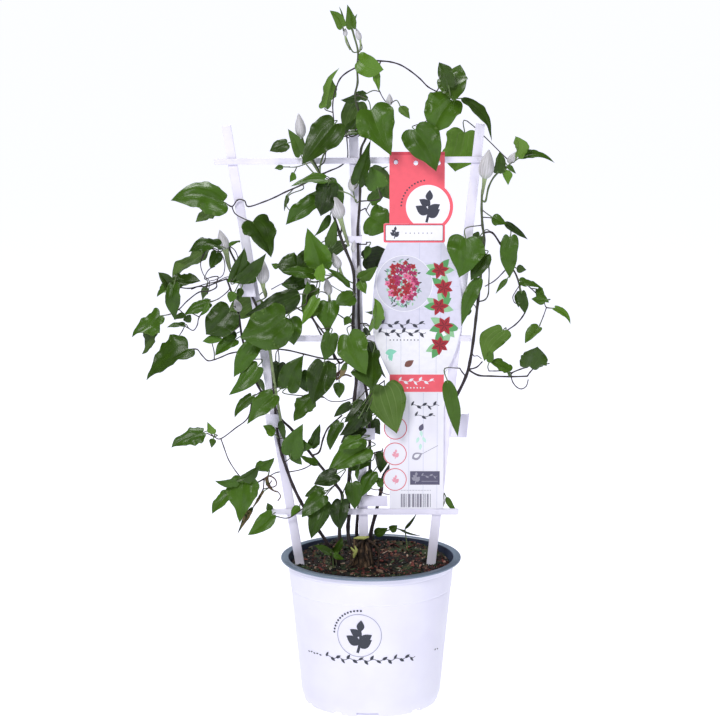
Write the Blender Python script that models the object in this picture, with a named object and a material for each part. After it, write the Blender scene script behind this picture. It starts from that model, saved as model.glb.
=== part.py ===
"""Potted clematis trained on a fan trellis, at real size in metres, +Z up, front towards -Y.

The pot stands on Z = 0 about the Z axis. Every point of the plant is given in millimetres as it
is seen in the plane of the trellis, with its depth behind (+) or in front of (-) that plane, and
is slid along the viewer's line of sight to that depth.
"""

import math

import bmesh
import bpy
from mathutils import Matrix, Vector
from mathutils.bvhtree import BVHTree

MM = 0.001
EYE = Vector((0.0, -2500.0, 814.0))  # mm, where the photograph was taken from

# pot, mm: the profile of the wall and its rim as (radius, height), the outside up and the inside down
POT_OUTER = ((69.8, 0.0), (73.5, 11.0), (84.6, 123.2), (85.3, 124.0), (87.5, 152.3), (94.2, 152.3),
             (95.0, 153.4), (94.2, 155.0), (86.8, 155.0))
POT_INNER = ((72.2, 14.0), (68.0, 4.0))
POT_SIDES = 36
NOTCH_ANGLES = (-90.0, -48.0, -12.0, 24.0, 60.0, 96.0, 132.0, 168.0, 204.0, 240.0)
NOTCH_FRONT_WIDTH, NOTCH_WIDTH, NOTCH_FRONT_HEIGHT, NOTCH_HEIGHT = 23.0, 11.0, 5.0, 3.0
SOIL_TOP, SOIL_BOTTOM, SOIL_RADIUS, SOIL_GAP = 146.5, 4.4, 85.6, 0.35   # the radius is at the top
SOIL_SIDES, HOLE_GAP = 24, 0.4

# trellis, mm
SLAT_WIDTH, SLAT_DEPTH, BAR_HEIGHT, BAR_DEPTH, SLAT_GAP = 9.6, 3.0, 6.2, 3.0, 0.3
SLAT_FOOT = 112.0
UPRIGHTS = {"trellis_left": (-148.0, 608.0, 0.158), "trellis_middle": (-18.0, 604.0, 0.0246),
            "trellis_right": (112.0, 610.0, -0.1045)}
BARS = {"bar_top": (-160.5, 571.5, 122.0, 574.0), "bar_middle": (-125.0, 388.0, 104.0, 388.0),
        "bar_bottom": (-103.5, 203.4, 92.0, 203.4)}

# tag, mm: outlines as seen from the front
TAG_THICKNESS, TAG_GAP = 0.8, 0.5
TAG_STRIP = ((19.0, 582.0), (75.6, 582.0), (76.0, 207.2), (19.5, 207.2))
TAG_PANEL = ((18.0, 489.0), (74.9, 489.0), (81.0, 476.6), (87.5, 462.7), (91.3, 448.1), (94.0, 431.1),
             (94.7, 412.1), (93.0, 394.0), (89.0, 377.0), (84.1, 363.8), (76.3, 349.6), (19.3, 349.6),
             (11.2, 366.9), (4.2, 384.2), (2.0, 400.0), (1.4, 415.0), (2.0, 430.0), (5.2, 456.4),
             (11.1, 474.1))
TAG_LABEL = ((13.0, 488.5), (76.2, 488.5), (76.2, 508.5), (13.0, 508.5))
TAG_DISC = (58.5, 525.5, 26.0)
TAG_ICONS = ((25.6, 293.5, 12.3), (25.3, 266.0, 12.3), (25.3, 238.6, 12.3))
TAG_HOLES = ((25.5, 571.5), (46.0, 570.5), (69.0, 570.5))
TAG_HOLE_RADIUS, PEG_RADIUS, PEG_ROOT, PEG_STICKS_OUT = 2.3, 1.9, 0.8, 2.2

BLADE = 0.72       # blade thickness, mm
PETIOLE = 0.75     # half width of a petiole, mm
CLEAR = 0.4        # added round a leaf when it is tested against its neighbours, mm
KEEP = tuple(k / 100 for k in range(76, 95))  # shares of triangles kept once a stem is one body

# half outlines of a blade: (half width, station of the edge, station of the midrib)
BIG = ((0.40, -0.09), ((0.98, 0.08, 0.16), (0.90, 0.42, 0.44), (0.40, 0.78, 0.76)))
MIDDLE = ((0.40, -0.08), ((1.0, 0.14, 0.20), (0.66, 0.62, 0.62)))
SMALL = (None, ((0.92, 0.17, 0.20), (0.70, 0.62, 0.62)))
TINY = (None, ((1.0, 0.36, 0.40),))

# Stems: first the main stem, then its side shoots. Each is (radius at the foot, radius at the end,
# points), and a point is (x, z, depth). A side shoot starts from the nearest point before it.
STEMS = {
    "stem_left": (
        (2.0, 1.0, ((-36, 122, -4), (-40, 150, -5), (-46, 168, -6), (-56, 184, -8), (-66, 200, -9),
                    (-74, 214, -8), (-82, 231, -6.5), (-88, 248, -5.6), (-93, 263, -5.4),
                    (-97, 281, -5.4), (-99, 302, -5.4), (-101, 330, -5.2), (-103, 358, -6),
                    (-106, 380, -8.8), (-112, 400, -8.8), (-120, 425, -7), (-132, 448, -6),
                    (-139, 466, -5.5), (-146, 482, -5), (-141, 488, -6), (-135, 489, -7))),
        (0.9, 0.7, ((-108, 432, -10), (-112, 446, -12))),
        (0.8, 0.6, ((-144, 455, -8), (-150, 470, -9), (-150, 481, -10))),
        (0.7, 0.6, ((-157, 478, -5), (-166, 482, -5), (-171, 478, -4), (-176, 467, -3))),
        (0.7, 0.6, ((-86, 196, -10), (-98, 197, -11), (-104, 199, -12))),
    ),
    "stem_left_back": (
        (1.9, 1.0, ((-33, 122, -12), (-34, 150, -12), (-33, 176, -12), (-33, 203, -10.5),
                    (-30, 220, -9), (-37, 232, -8), (-45, 242, -7), (-57, 257, -5), (-66, 269, -3),
                    (-82, 290, 3), (-95, 303, 6), (-108, 321, 6), (-120, 342, 4.5),
                    (-128, 365, 3.5), (-134, 390, 2), (-137, 412, 0), (-143, 432, -2),
                    (-149, 450, -3))),
        (0.9, 0.7, ((-160, 446, -5), (-170, 442, -6), (-178, 442, -6), (-188, 440, -6),
                    (-197, 441, -6), (-203, 444, -6))),
        (0.8, 0.6, ((-160, 441, -2), (-168, 437, -1), (-178, 436, 0), (-190, 427, 0),
                    (-199, 418, -2), (-208, 413, -5), (-218, 411, -8))),
        (0.7, 0.5, ((-158, 452, -1), (-164, 452, 0), (-172, 450, 0), (-168, 459, 0),
                    (-161, 463, -1))),
        (0.7, 0.5, ((-148, 437, -4), (-158, 429, -6), (-167, 426, -8))),
        (0.7, 0.5, ((-178, 410, -6), (-180, 402, -5), (-184, 396, -5), (-189, 398, -4),
                    (-192, 402, -4), (-196, 395, -4), (-202, 386, -4))),
        (0.8, 0.6, ((-124, 325, 0),)),
        (0.8, 0.6, ((-128, 304, 2), (-142, 292, -1), (-157, 281, -3), (-164, 283, -4),
                    (-172, 287, -5))),
        (0.7, 0.6, ((-154, 272, -3), (-149, 258, -4), (-141, 245, -6), (-134, 237, -9))),
        (0.7, 0.6, ((-70, 249, 0), (-85, 245.5, 4.2), (-98, 245, 4.4), (-108, 240, 2))),
        (1.2, 0.8, ((-112, 238, -1), (-122, 233, -5), (-130, 235, -9))),
        (0.8, 0.6, ((-113, 227, -4),)),
        (1.2, 0.9, ((-54, 267, -4), (-50, 281, -3), (-45, 292, -4), (-38, 299, -5),
                    (-30, 306, -5))),
        (0.9, 0.7, ((-224, 404, -6), (-224, 399, -5))),
        (0.8, 0.7, ((-135.5, 416, -7),)),
    ),
    "stem_centre": (
        (2.2, 1.2, ((-18, 156, -9), (-23, 172, -5), (-24, 186, 0), (-23, 200, 3.2),
                    (-24, 225, 2), (-22, 247, 0),
                    (-20, 285, -6), (-17, 325, -11), (-15, 347, -13), (-17, 375, -13.5),
                    (-18.5, 402, -13.5), (-17.5, 432, -13.5), (-18, 458, -13.5), (-26, 480, -13),
                    (-32, 496, -13), (-43, 530, -13), (-50, 545, -13), (-52, 558, -13),
                    (-59, 572, -12), (-68, 588, -11), (-71, 599, -11))),
        (1.0, 0.7, ((-70, 548, -11), (-88, 540, -9), (-98, 535, -8), (-110, 530, -7.5),
                    (-126, 525, -7), (-130, 531, -7), (-137, 532, -6.5), (-143, 525, -6),
                    (-150, 529, -6))),
        (0.7, 0.6, ((-140, 518, -8), (-132, 513, -12), (-124, 510, -14))),
        (0.7, 0.5, ((-70, 543, -15), (-84, 537, -15), (-87, 526, -15), (-80, 518, -14))),
        (1.0, 0.6, ((-42, 562, -7), (-31, 567, 1), (-24, 575, 3.4), (-24.5, 593, 4),
                    (-26, 603, 2))),
        (0.8, 0.6, ((-48, 571, -12), (-46, 583, -12))),
        (0.7, 0.5, ((-76, 566, -11), (-90, 566, -10))),
        (1.3, 1.0, ((-30, 503, -18), (-32, 514, -20))),
        (0.8, 0.6, ((-30, 452, -15), (-33, 462, -16))),
        (1.2, 0.8, ((-34, 456, -8), (-48, 449, -5), (-62, 447, -4), (-74, 456, -4),
                    (-80, 464, -5))),
        (0.8, 0.6, ((-30, 410, -9), (-41, 419, -9), (-43.5, 434, -10))),
        (0.6, 0.5, ((-31, 437, -8), (-41, 443, -6))),
        (1.0, 0.7, ((-27, 365, -14), (-48, 366, -12.5), (-70, 371, -12), (-87, 375, -12),
                    (-106, 376.5, -13), (-125, 375, -12.5), (-145, 372, -10), (-155, 368, -9),
                    (-163, 365, -9), (-170, 364, -9), (-176, 370, -9.5), (-181, 376, -10),
                    (-189, 376, -11))),
        (1.2, 0.8, ((-45, 387, -21), (-60, 408, -22), (-66, 424, -19), (-66, 434, -16),
                    (-64, 445, -15))),
        (1.2, 0.8, ((-33, 362, -7), (-42, 378, 1), (-52, 392, 3), (-62, 410, 3.5), (-76, 419, 2),
                    (-86, 429, 0))),
        (0.7, 0.6, ((-163, 373, -6), (-165, 382, -5))),
        (0.6, 0.5, ((-30, 321, -7), (-42, 321, -6), (-49, 325, -6))),
    ),
    "stem_top": (
        (1.8, 1.0, ((-14, 122, 15), (-14, 150, 15), (-15, 180, 11), (-13, 205, 6.5),
                    (-8, 222, 5.2), (-2, 240, 5), (-1, 262, 4), (-1.5, 290, 2.5), (-3, 320, -2),
                    (-7, 345, -6.5), (-10, 370, -8.6), (-12.4, 403, -8.6), (-12.8, 440, -8.4),
                    (-13, 472, -8), (-13.5, 500, -8), (-12, 520, -8), (-11, 541, -8),
                    (-11, 562, -8.6), (-10, 584, -8.8), (-5, 597, -9), (-8, 613, -8.5),
                    (-14, 628, -8), (-16, 640, -8), (-13.5, 652, -8), (-14, 668, -8),
                    (-13, 683, -8), (-17, 699, -8), (-20, 708, -9))),
        (1.0, 0.7, ((10, 674, -10), (20, 673, -12), (30, 670, -13), (40, 664, -14),
                    (50, 656, -14), (58, 648, -14), (67, 643, -14), (75, 639, -13),
                    (82, 636, -12))),
        (1.0, 0.7, ((-25, 662, -9), (-32, 655, -10), (-36.5, 643, -12), (-39, 630, -14),
                    (-38, 613, -18))),
        (0.8, 0.6, ((-19, 684, -7), (-26, 700, -7), (-29, 708, -8))),
        (0.7, 0.5, ((-9, 687, -9), (-11, 696, -10))),
        (0.7, 0.5, ((5, 655, -9), (9, 643, -9), (14, 634, -9), (19, 630, -10))),
        (0.7, 0.5, ((46, 644, -16), (47, 628, -19), (45, 610, -23))),
        (0.8, 0.6, ((10, 533, -6), (8, 543, -7))),
        (0.8, 0.6, ((-15.5, 530, -9), (-18.5, 542, -10))),
        (0.7, 0.6, ((-6, 388, -11), (0, 396, -12), (3, 399, -12))),
        (0.8, 0.7, ((4, 266, 3), (12, 268, 4))),
        (0.8, 0.6, ((4, 336, -9), (12, 341, -14), (14, 343, -16))),
        (0.8, 0.7, ((-5, 403, -9), (-1, 400, 3))),
        (0.8, 0.7, ((-6, 523, -9), (-5, 521, 4))),
        (0.8, 0.7, ((-5, 486, -9), (-4.5, 488, 4))),
    ),
    "stem_right": (
        (2.1, 1.2, ((1, 122, 15), (0, 150, 14), (0, 178, 10), (5, 200, 6), (8, 213, 4.6),
                    (11, 226, 4.2), (14, 242, 4.2), (32, 268, 4.4), (60, 296, 5), (79, 313, 5),
                    (90, 328, 4), (99, 347, 1), (103, 362, 0), (106.5, 385, 0), (109, 408, 0),
                    (111, 426, -1), (113, 446, -2), (115, 470, -3), (117, 490, -4),
                    (115, 506, -5), (114, 522, -7), (114.5, 540, -10), (117, 555, -14))),
        (1.2, 0.8, ((125, 498, -5), (133, 487, -6), (138, 478, -7), (144, 465, -7),
                    (151, 452, -7), (156, 433, -7), (160, 418, -7), (157, 410, -7),
                    (150, 402, -7), (140, 395, -7))),
        (1.2, 0.9, ((118, 531, -5), (121, 545, -4), (127.5, 557, -4), (138, 565, -3),
                    (144, 570, -3))),
        (0.7, 0.6, ((125, 513, -6), (137, 508, -8))),
        (0.9, 0.7, ((118, 428, -3), (121.5, 434, -5), (122, 446, -6), (122, 462, -6),
                    (119, 474, -7))),
        (0.8, 0.6, ((137, 457, -9), (128, 448, -12), (118, 442, -14))),
        (0.8, 0.5, ((158, 446, -8), (172, 434, -8), (179, 426, -8), (182, 420, -8),
                    (190, 419, -7))),
        (0.6, 0.5, ((179, 411, -7), (175, 400, -6))),
        (0.6, 0.5, ((150, 437, -9), (147, 431, -9), (149, 425, -9), (155, 423, -9))),
        (1.2, 0.9, ((112, 348.5, 0), (125, 347.6, -2), (146, 347, -4), (163, 347.5, -5))),
        (0.7, 0.6, ((148, 341, -5), (152, 336, -6), (157, 334, -7), (162, 337, -6.5),
                    (164, 344, -6))),
        (0.9, 0.7, ((147, 351, -6), (156, 355, -7), (163, 357, -7))),
        (0.9, 0.6, ((166, 352, -7), (172, 358, -7), (180, 360, -7), (186, 361, -7))),
        (1.0, 0.7, ((110, 357, -2), (116, 363, -4))),
        (0.9, 0.7, ((95, 352, 1), (92.5, 356, 1))),
        (0.6, 0.5, ((107, 369, -1), (111, 369, -2), (115, 366, -3))),
        (0.8, 0.6, ((138, 353, -6), (129, 353, -6), (123, 353, -6))),
    ),
    "sprig_left": (
        (1.1, 0.7, ((-39, 136, -26), (-40, 148, -26), (-41, 158, -27))),
    ),
    "sprig_right": (
        (1.0, 0.7, ((14, 136, 30), (10, 152, 30), (4, 166, 27), (3, 177, 24), (12, 180, 22),
                    (20, 183, 21))),
    ),
    "sprig_back": (
        (1.2, 0.8, ((54, 136, 22), (60, 160, 20), (70, 190, 14), (77, 212, 9))),
    ),
    "grass_blade": (
        (0.9, 0.7, ((36, 136, 38), (39, 156, 36), (36, 182, 32))),
    ),
}

# Leaves: (base x, base z, tip x, tip z, width, depth, how much deeper the tip is, roll) and, where
# they differ from the usual, the fold and the arch in degrees and the sideways bow as a share of the
# length. Roll 180 shows the underside.
LEAVES = {
    "stem_top": (
        (-29, 709, -42, 725, 12.6, -8, 4, 0, 50, 10), (-19, 708, -24, 731, 10.9, -9, -3, -14, 28, 10),
        (-12, 674, 13, 665, 22.7, -12, -8, 0, 16, 16),
        (4.9, 662.4, 8.4, 642.4, 9.4, -9, 2, -25, 28, 16),
        (-46, 628, -32, 667, 24.2, -16, -6, 230, 36, 15, 0.06),
        (-6, 640, -31, 635, 18.9, 6, 3, -45, 36, 16), (30, 628, 40, 615, 11, -22, -4, 150),
        (-37, 610, -71, 568, 41.8, -20, -8, 19, 28, 16), (0, 624, 21, 577, 47.8, -22, -10, -16, 28, 16),
        (45, 604, 67, 561, 37.3, -24, -6, 0, 16, 16),
        (80.9, 659, 85.7, 632.8, 31.3, -18, -22, 0, 12, 40),
        (82, 634, 63, 600, 40.6, -16, -6, 12, 28, 16),
        (93, 636, 124, 592, 15.8, -12, -4, -36, 28, 45, -0.12),
        (-5.8, 398.8, 16.6, 344.3, 17.9, 5, 2, 41, 28, 16), (3, 399, 3, 430, 23.8, -12, -4, 46, 36, 70),
        (14.1, 336.8, 26.7, 286.4, 36.3, -18, -12, 192, 28, 16), (0, 322, -6, 297, 16, -14, -4, 10),
        (-1, 515, 20, 502, 34, 5, 4, -15), (0, 530, 14, 545, 16, 6, 2, 30),
        (7, 545, 0, 566, 25, -8, -6, 0), (-13, 550, 0, 594, 21.9, -14, -3, -32, 28, 20),
        (-2, 564, 18, 567, 9, 6, 2, 65), (-7.2, 471.7, 20.6, 476.8, 25.8, 5, 3, 0, 16, 16),
        (-11, 451, 7, 463, 14, -13, -4, 30), (-11, 448, -5, 434, 11.5, -12, -4, 0, 16, 16),
        (2, 245, -10, 218, 16, -9, -4, 25), (-13, 249, -14, 236, 6, -8, 0, 30),
        (12, 266, 10, 244, 15, 6, 2, 0), (-8, 318, -28, 298, 17, -10, -4, 20),
        (-4, 311, -18, 291, 16, -13, -4, 0), (-9, 293, -32, 276, 18, -10, -3, 20),
        (2, 300, 10, 285, 14, 7, 0, 10), (-3, 256, -24, 246, 11, -8, 0, 30),
        (-2, 484, -6, 470, 9, 6, 0, 20),
    ),
    "stem_centre": (
        (-86, 590, -104, 582, 15, -9, -2, 30), (-72, 579, -85, 605, 14.6, -12, -4, 0, 16, 16),
        (-48, 553, -83, 546, 15.9, -17, -5, 39, 28, 16), (-90, 566, -99, 564, 7, -10, 0, 20),
        (-79, 567, -86, 567, 6, -10, 0, 30), (-86, 537, -89, 520, 6, -9, 0, 40),
        (-57, 530, -88, 506, 20, -12, -4, 15), (-44, 548, -52, 515, 26, -19, -5, -15),
        (-46, 549, -28, 527, 25, 6, 4, 15), (-42, 516, -59, 494, 8.8, -8, -2, 0, 16, 16),
        (-42, 484, -37, 512, 14, -16, -4, 35), (-52, 463, -66, 503, 32.4, -18, -8, -20, 28, 16),
        (-74, 464, -98, 463, 25, -12, -4, 20), (-60, 455, -92, 457, 17, -22, -5, 40),
        (-67.9, 449.6, -92.8, 443.6, 18.2, 5, 4, 0, 16, 16), (-53, 449, -50, 466, 13, -26, -2, 150),
        (-66, 434, -66, 448, 8, -18, 0, 30), (-44, 425, -44.4, 390.7, 24.7, -14, -6, 0, 16, 16),
        (-19, 432, -37, 422, 21, -16, -4, 30), (-56.3, 428.8, -71.8, 401.4, 13.6, -24, -4, 13, 28, 16),
        (-57, 440, -71, 421, 16, -14, -3, 20), (-22.7, 390.6, -4.7, 349.1, 36.3, -28, -8, 12, 28, 16),
        (2.3, 372, 1.6, 332, 44.4, -19, -6, 38, 28, 16), (-40, 470, -49, 478, 10, -6, 0, 20),
        (-22, 441, -48, 462, 9, -18, -4, 40), (-152, 530, -206, 531, 45.4, -7, -6, 33, 28, 16),
        (-160, 524, -181, 509, 18.7, 3, 2, 145, 36, 16),
        (-122, 509, -103, 472, 43.4, -15, -6, -36, 28, 16),
        (-87.6, 335.3, -70.1, 369.5, 28, -9, -4, 0, 28, 16),
        (-99.2, 360, -104.6, 332.3, 19.7, 4, 3, 0, 16, 16),
        (-48.5, 360, -60.9, 317, 37.8, -21, -8, 0, 36, 16),
        (-62, 325, -80.8, 299.3, 22.6, -8, -4, 33, 28, 16),
        (-41.8, 357.8, -67.6, 352.6, 14.6, -12, -2, 25, 28, 16),
        (-26, 361, -34, 343, 6.5, -22, 0, 180, 16, 16), (-33, 341, -33, 324, 14, -10, 0, 10),
        (-5, 271, -46, 244, 31.2, -22, -6, 25, 28, 16), (-32, 297, -43, 268, 16, -9, -3, 25),
        (-11, 281, -33, 270, 17, -14, -2, 30), (-31, 214, -32, 182, 21, -16, -6, 10),
        (-20, 233, -17, 205, 19, -12, -4, -10), (-190, 376, -234, 343, 47.3, -13, -8, 46, 36, 16),
        (-89, 409, -136, 388, 47, -32, -10, 0), (-84, 408, -80, 380, 27, -14, -4, 0),
        (-74, 434, -131, 411, 25, -22, -6, 20, 20, 30), (-22, 410, -28, 401, 9, -18, 0, 20),
        (-24, 602, -13, 618, 16, 5, 3, 20),
    ),
    "stem_left": (
        (-140, 452, -131, 483, 17, -12, -4, 20, 30, 10), (-138, 447, -108, 477, 16, -14, -4, 20),
        (-124, 458, -149, 447, 29, -11, -4, 10), (-157, 484, -189, 478, 25.4, -6, -2, 47, 36, 70),
        (-171, 478, -206, 447, 27.5, -2, 2, 129, 36, 16, -0.05), (-159, 477, -166, 461, 15, -8, -2, 10),
        (-141, 436, -146, 425, 11, -10, 0, 0), (-134, 440, -138, 427, 10, -10, 0, 30),
        (-122, 381, -143, 346, 25.5, -15, -6, 0, 36, 16),
        (-104, 199, -130, 177, 19.5, -13, -5, 19, 28, 16), (-95, 300, -90, 278, 8, -11, 0, 30),
        (-75, 208, -84, 197, 9, -11, 0, 20), (-106, 203, -109, 212, 8, -12, 0, 20),
        (-101, 286, -113, 295, 14, -12, -2, 30), (-84, 264, -71, 297, 25, -13, -5, 0),
        (-83, 267, -72, 253, 13, -11, -2, 20), (-80, 277, -61, 271, 15, -8, 0, 30),
    ),
    "stem_left_back": (
        (-203, 446, -176, 447, 28.6, -8, -3, -46, 36, 16),
        (-208, 441, -220, 457, 14.5, -6, 0, 13, 28, 16),
        (-209, 441, -222, 431, 15.6, -6, 0, 37, 36, 16),
        (-204, 443, -203, 406, 19, -10, -2, 18, 28, 35),
        (-219, 411, -248, 388, 31.9, -10, -4, 43, 36, 16),
        (-224, 398, -239, 371, 22.3, -5, 0, 228, 36, 16),
        (-194, 401, -212, 399, 8.7, -6, 0, 37, 36, 16), (-192, 411, -187, 404, 11, -2, 0, 20),
        (-168, 425, -194, 413, 15, -10, -3, 30), (-168, 424, -177, 411, 6.5, -14, -2, 0, 16, 16),
        (-146, 416.6, -171.5, 391.4, 35.8, -16, -6, 0, 28, 16),
        (-141, 386, -162, 369, 16.9, -10, -2, 18, 28, 16),
        (-139.4, 408.9, -154.7, 391.1, 18.7, 4, 2, 17, 28, 16),
        (-139.6, 392.8, -154.7, 386.8, 10.4, 6, 0, 0, 16, 16),
        (-118.3, 357.3, -148.6, 327, 20.1, -18, -6, 0, 16, 16),
        (-124.9, 325.9, -142.5, 303.3, 14, -10, -2, 28, 28, 40),
        (-102, 327, -129.6, 296.1, 24.9, -16, -6, 15, 28, 16),
        (-133, 237, -138, 190, 35.2, -16, -8, 22, 28, 16),
        (-140, 235, -164, 236, 15, -10, -2, -35, 36, 16),
        (-150, 221, -167, 200, 20, -8, -3, 35, 36, 16), (-134, 238, -117, 252, 15, -10, -2, 30),
        (-118, 249, -101, 261, 15, -7, -2, 35), (-112, 225, -124, 206, 7, -7, 0, 40),
        (-124, 207, -141, 178, 8, -9, 0, 40), (-108, 241, -98, 223, 12, -6, 0, 30),
        (-176, 287, -209, 271, 30.9, -8, -4, 50, 36, 16), (-164, 286, -171, 299, 10, -8, 0, 150),
        (-165, 281, -167, 271, 8, -6, 0, 20), (-57, 254, -75, 263, 11, -11, -2, 40),
        (-62, 272, -53, 297, 14, -7, 0, 25, 20, 40), (-36, 243, -60, 232, 19, -12, -4, 10),
        (-50, 225, -70, 219, 15, -8, 0, 30), (-50, 220, -73, 196, 20, -20, -5, 10),
        (-50, 212, -63, 173, 22, -14, -6, 0),
    ),
    "stem_right": (
        (96, 601, 86.3, 560.9, 42.6, 7, 2, 161, 28, 16), (130, 561, 132, 582, 13, -6, 0, 20),
        (150, 577, 148, 598, 20.8, -6, -2, 131, 36, 60, -0.08),
        (152, 575, 188.8, 569.9, 14.1, -6, -3, -35, 36, 70, -0.1), (138, 563, 141, 547, 11, -5, 0, 20),
        (140, 567, 149, 559, 6, -6, 0, 20), (125, 514, 140, 506.6, 14, -8, -2, -28, 28, 16),
        (137.7, 508.5, 161.9, 490.7, 9, -9, -3, -13, 28, 16),
        (143.3, 492.9, 143.7, 450.2, 20, -13, -5, 0, 16, 16),
        (97.9, 491.8, 91, 451, 40.3, -15, -6, 0, 16, 16), (119, 475, 103, 448, 17, -9, -2, 20),
        (113.3, 451, 94, 400, 14.7, -3.2, 0, 0, 5, 5),
        (138, 394, 116.4, 364.1, 42.6, -7, -4, 134, 36, 16),
        (144, 352, 123, 363, 23.9, -9, -3, 50, 36, 16), (123, 362, 127, 377, 9, -8, 0, 20),
        (165, 356, 175, 379, 33, -8, -4, 20), (155, 447, 177, 441, 12.7, -10, -2, -41, 28, 16),
        (173, 439, 185, 425, 11, -12, -2, 30, 20, 60), (181, 428, 166, 429, 11, -10, -2, 10),
        (191, 419, 207, 402, 10.9, -7, -2, -37, 36, 40, -0.08), (174, 399, 160, 382, 14, -7, -3, 20),
        (141, 450, 129, 434, 5.8, -9, -2, 0, 16, 16), (156, 436, 160, 413, 12, -12, -2, 10),
        (154, 436, 153, 420, 10, -15, -2, 20), (81, 343, 91, 283, 18, -3.2, 0, 0, 5, 5),
        (12, 230, 5, 240, 9, -3, 0, 20),
    ),
    "sprig_left": (
        (-42, 158, -60, 166, 9, -29, -4, 30), (-40, 159, -30, 175, 10, -28, -2, 30),
        (-39, 157, -28, 151, 8, -30, -4, 20),
    ),
    "sprig_right": (
        (4, 178, 18, 185, 11, 23, -3, 20), (20, 183, 28, 188, 10, 20, -2, 10),
    ),
    "sprig_back": (
        (79, 218, 92, 199, 6.9, 8, 0, 0, 16, 16),
    ),
    "grass_blade": (
        (36.1, 184, 48.5, 201.2, 3.7, 32, 0, 0, 10, 30),
        (31.5, 182.3, 53.7, 176.2, 2.4, 31, 2, 0, 10, 60),
    ),
}

# Leaves on the far side, which the photograph doesn't show: they fill the plant out in depth.
BACK_LEAVES = {
    "stem_top": (
        (-13.8, 631.9, -27, 597.9, 24.4, 16, 14, 180, 16, 16), (0, 560, 26, 530, 28, 20, 12, 170),
        (4.4, 416.7, -6.6, 415.4, 4.9, 6, 20, 180, 16, 16), (2, 300, -22, 268, 26, 22, 14, 170),
        (79.4, 647.9, 69.3, 672.8, 12.5, -12, 2, 0, 14, 14),
        (86.1, 647.5, 90.9, 670.4, 14, -12, 2, 0, 14, 14),
        (-21.3, 317.3, -39, 303.7, 10.2, -12, 2, 0, 14, 14),
        (-12.4, 303.7, -33.2, 284.1, 13.1, -14, 2, 0, 14, 14),
    ),
    "stem_centre": (
        (-47.3, 540.3, -64.8, 537.9, 8.1, 16, 14, 180, 16, 16),
        (-29.2, 486.3, -45.7, 469, 14.6, 20, 16, 180, 16, 16),
        (-41.7, 392.1, -48.4, 363.5, 18.2, -9, -2, 0, 16, 16),
        (-54.6, 420.3, -70.2, 406.8, 12.1, -14, -2, 0, 14, 14),
        (-28.4, 451, -44.5, 455.5, 5.8, -16, -2, 0, 14, 14),
        (-56.3, 422.2, -67.3, 414, 8.7, -16, -2, 0, 14, 14),
        (-94.9, 462.8, -102.9, 465.8, 6.4, -10, 2, 0, 14, 14),
    ),
    "stem_left": (
        (-118, 430, -150, 410, 28, 18, 16, 165), (-147.2, 484.7, -135, 489, 4.4, -8, 2, 0, 14, 14),
    ),
    "stem_left_back": (
        (-170.9, 441.4, -174.5, 427.5, 8.1, 18, 12, 180, 16, 16),
        (-116.8, 344.4, -110.6, 328.3, 6.5, 18, 14, 180, 16, 16),
        (-192.2, 412.3, -204.8, 407.2, 7.3, -8, 2, 0, 14, 14),
        (-156.4, 388.5, -175.3, 384.3, 9.3, -16, -2, 0, 14, 14),
    ),
    "stem_right": (
        (141.8, 484.8, 145.1, 461.2, 9.7, 16, 14, 180, 16, 16),
        (100.3, 419.3, 70.7, 406.7, 16.1, 18, 14, 180, 16, 16),
        (112.2, 494.1, 94.5, 469.1, 16.1, 16, 12, 180, 16, 16),
        (58.3, 302.2, 77, 278, 20.8, 20, 14, 180, 16, 16),
        (150.6, 460.9, 161, 459.3, 9.3, -7, 2, 0, 14, 14),
    ),
}

# Buds: (base x, base z, tip x, tip z, width, depth)
BUDS = {
    "stem_top": ((-11, 695, -15, 707, 5.5, -10), (-26, 699, -26, 707, 4.5, -7),
                 (19, 629, 19, 641, 6.5, -10), (-19, 541, -20, 557, 8, -10),
                 (-11.5, 452, -12.3, 464, 6, -10)),
    "stem_centre": ((-71, 596, -74, 621, 10.5, -11), (-31, 513, -40, 538, 14, -20),
                    (-33, 461, -39, 477, 9, -16), (-43.5, 433, -46, 451, 8.5, -10),
                    (-64, 444, -68, 451, 6, -15)),
    "stem_left": ((-112, 445, -111, 470, 12.5, -12), (-150, 480, -156, 501, 11, -10)),
    "stem_left_back": ((-136, 416, -141, 429, 8, -8),),
    "stem_right": ((117, 554, 121, 584, 15, -14), (141, 570, 150, 582, 7.5, -3)),
}

# Clips: (x, bottom z, width, height, front depth, back depth)
CLIPS = {"clip_1": (-126.0, 433.0, 15.0, 15.0, -12.5, -2.2),
         "clip_2": (-100.4, 295.0, 16.0, 14.0, -9.6, -0.4),
         "clip_3": (-17.0, 489.0, 16.0, 7.0, -12.6, -0.6),
         "clip_4": (-5.0, 281.0, 19.0, 12.0, -5.2, -2.1),
         "clip_5": (91.5, 283.0, 17.0, 25.0, -4.0, 2.0),
         "clip_6": (4.0, 209.5, 27.0, 11.0, -4.9, -2.1)}


def mm(x, y, z):
    return Vector((x, y, z))


def seen(x, z, y):
    """The point that looks to be at (x, z) in the trellis plane and lies y behind it."""
    scale = 1.0 + y / -EYE.y
    return Vector((x * scale, y, EYE.z + (z - EYE.z) * scale))


def noise(i, k):
    value = math.sin(i * 12.9898 + k * 78.233) * 43758.5453
    return value - math.floor(value)


def material(name, colour, roughness):
    found = bpy.data.materials.new(name)
    found.use_nodes = True
    shader = found.node_tree.nodes["Principled BSDF"]
    shader.inputs["Base Color"].default_value = (*colour, 1.0)
    shader.inputs["Roughness"].default_value = roughness
    found.diffuse_color = (*colour, 1.0)
    return found


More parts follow.
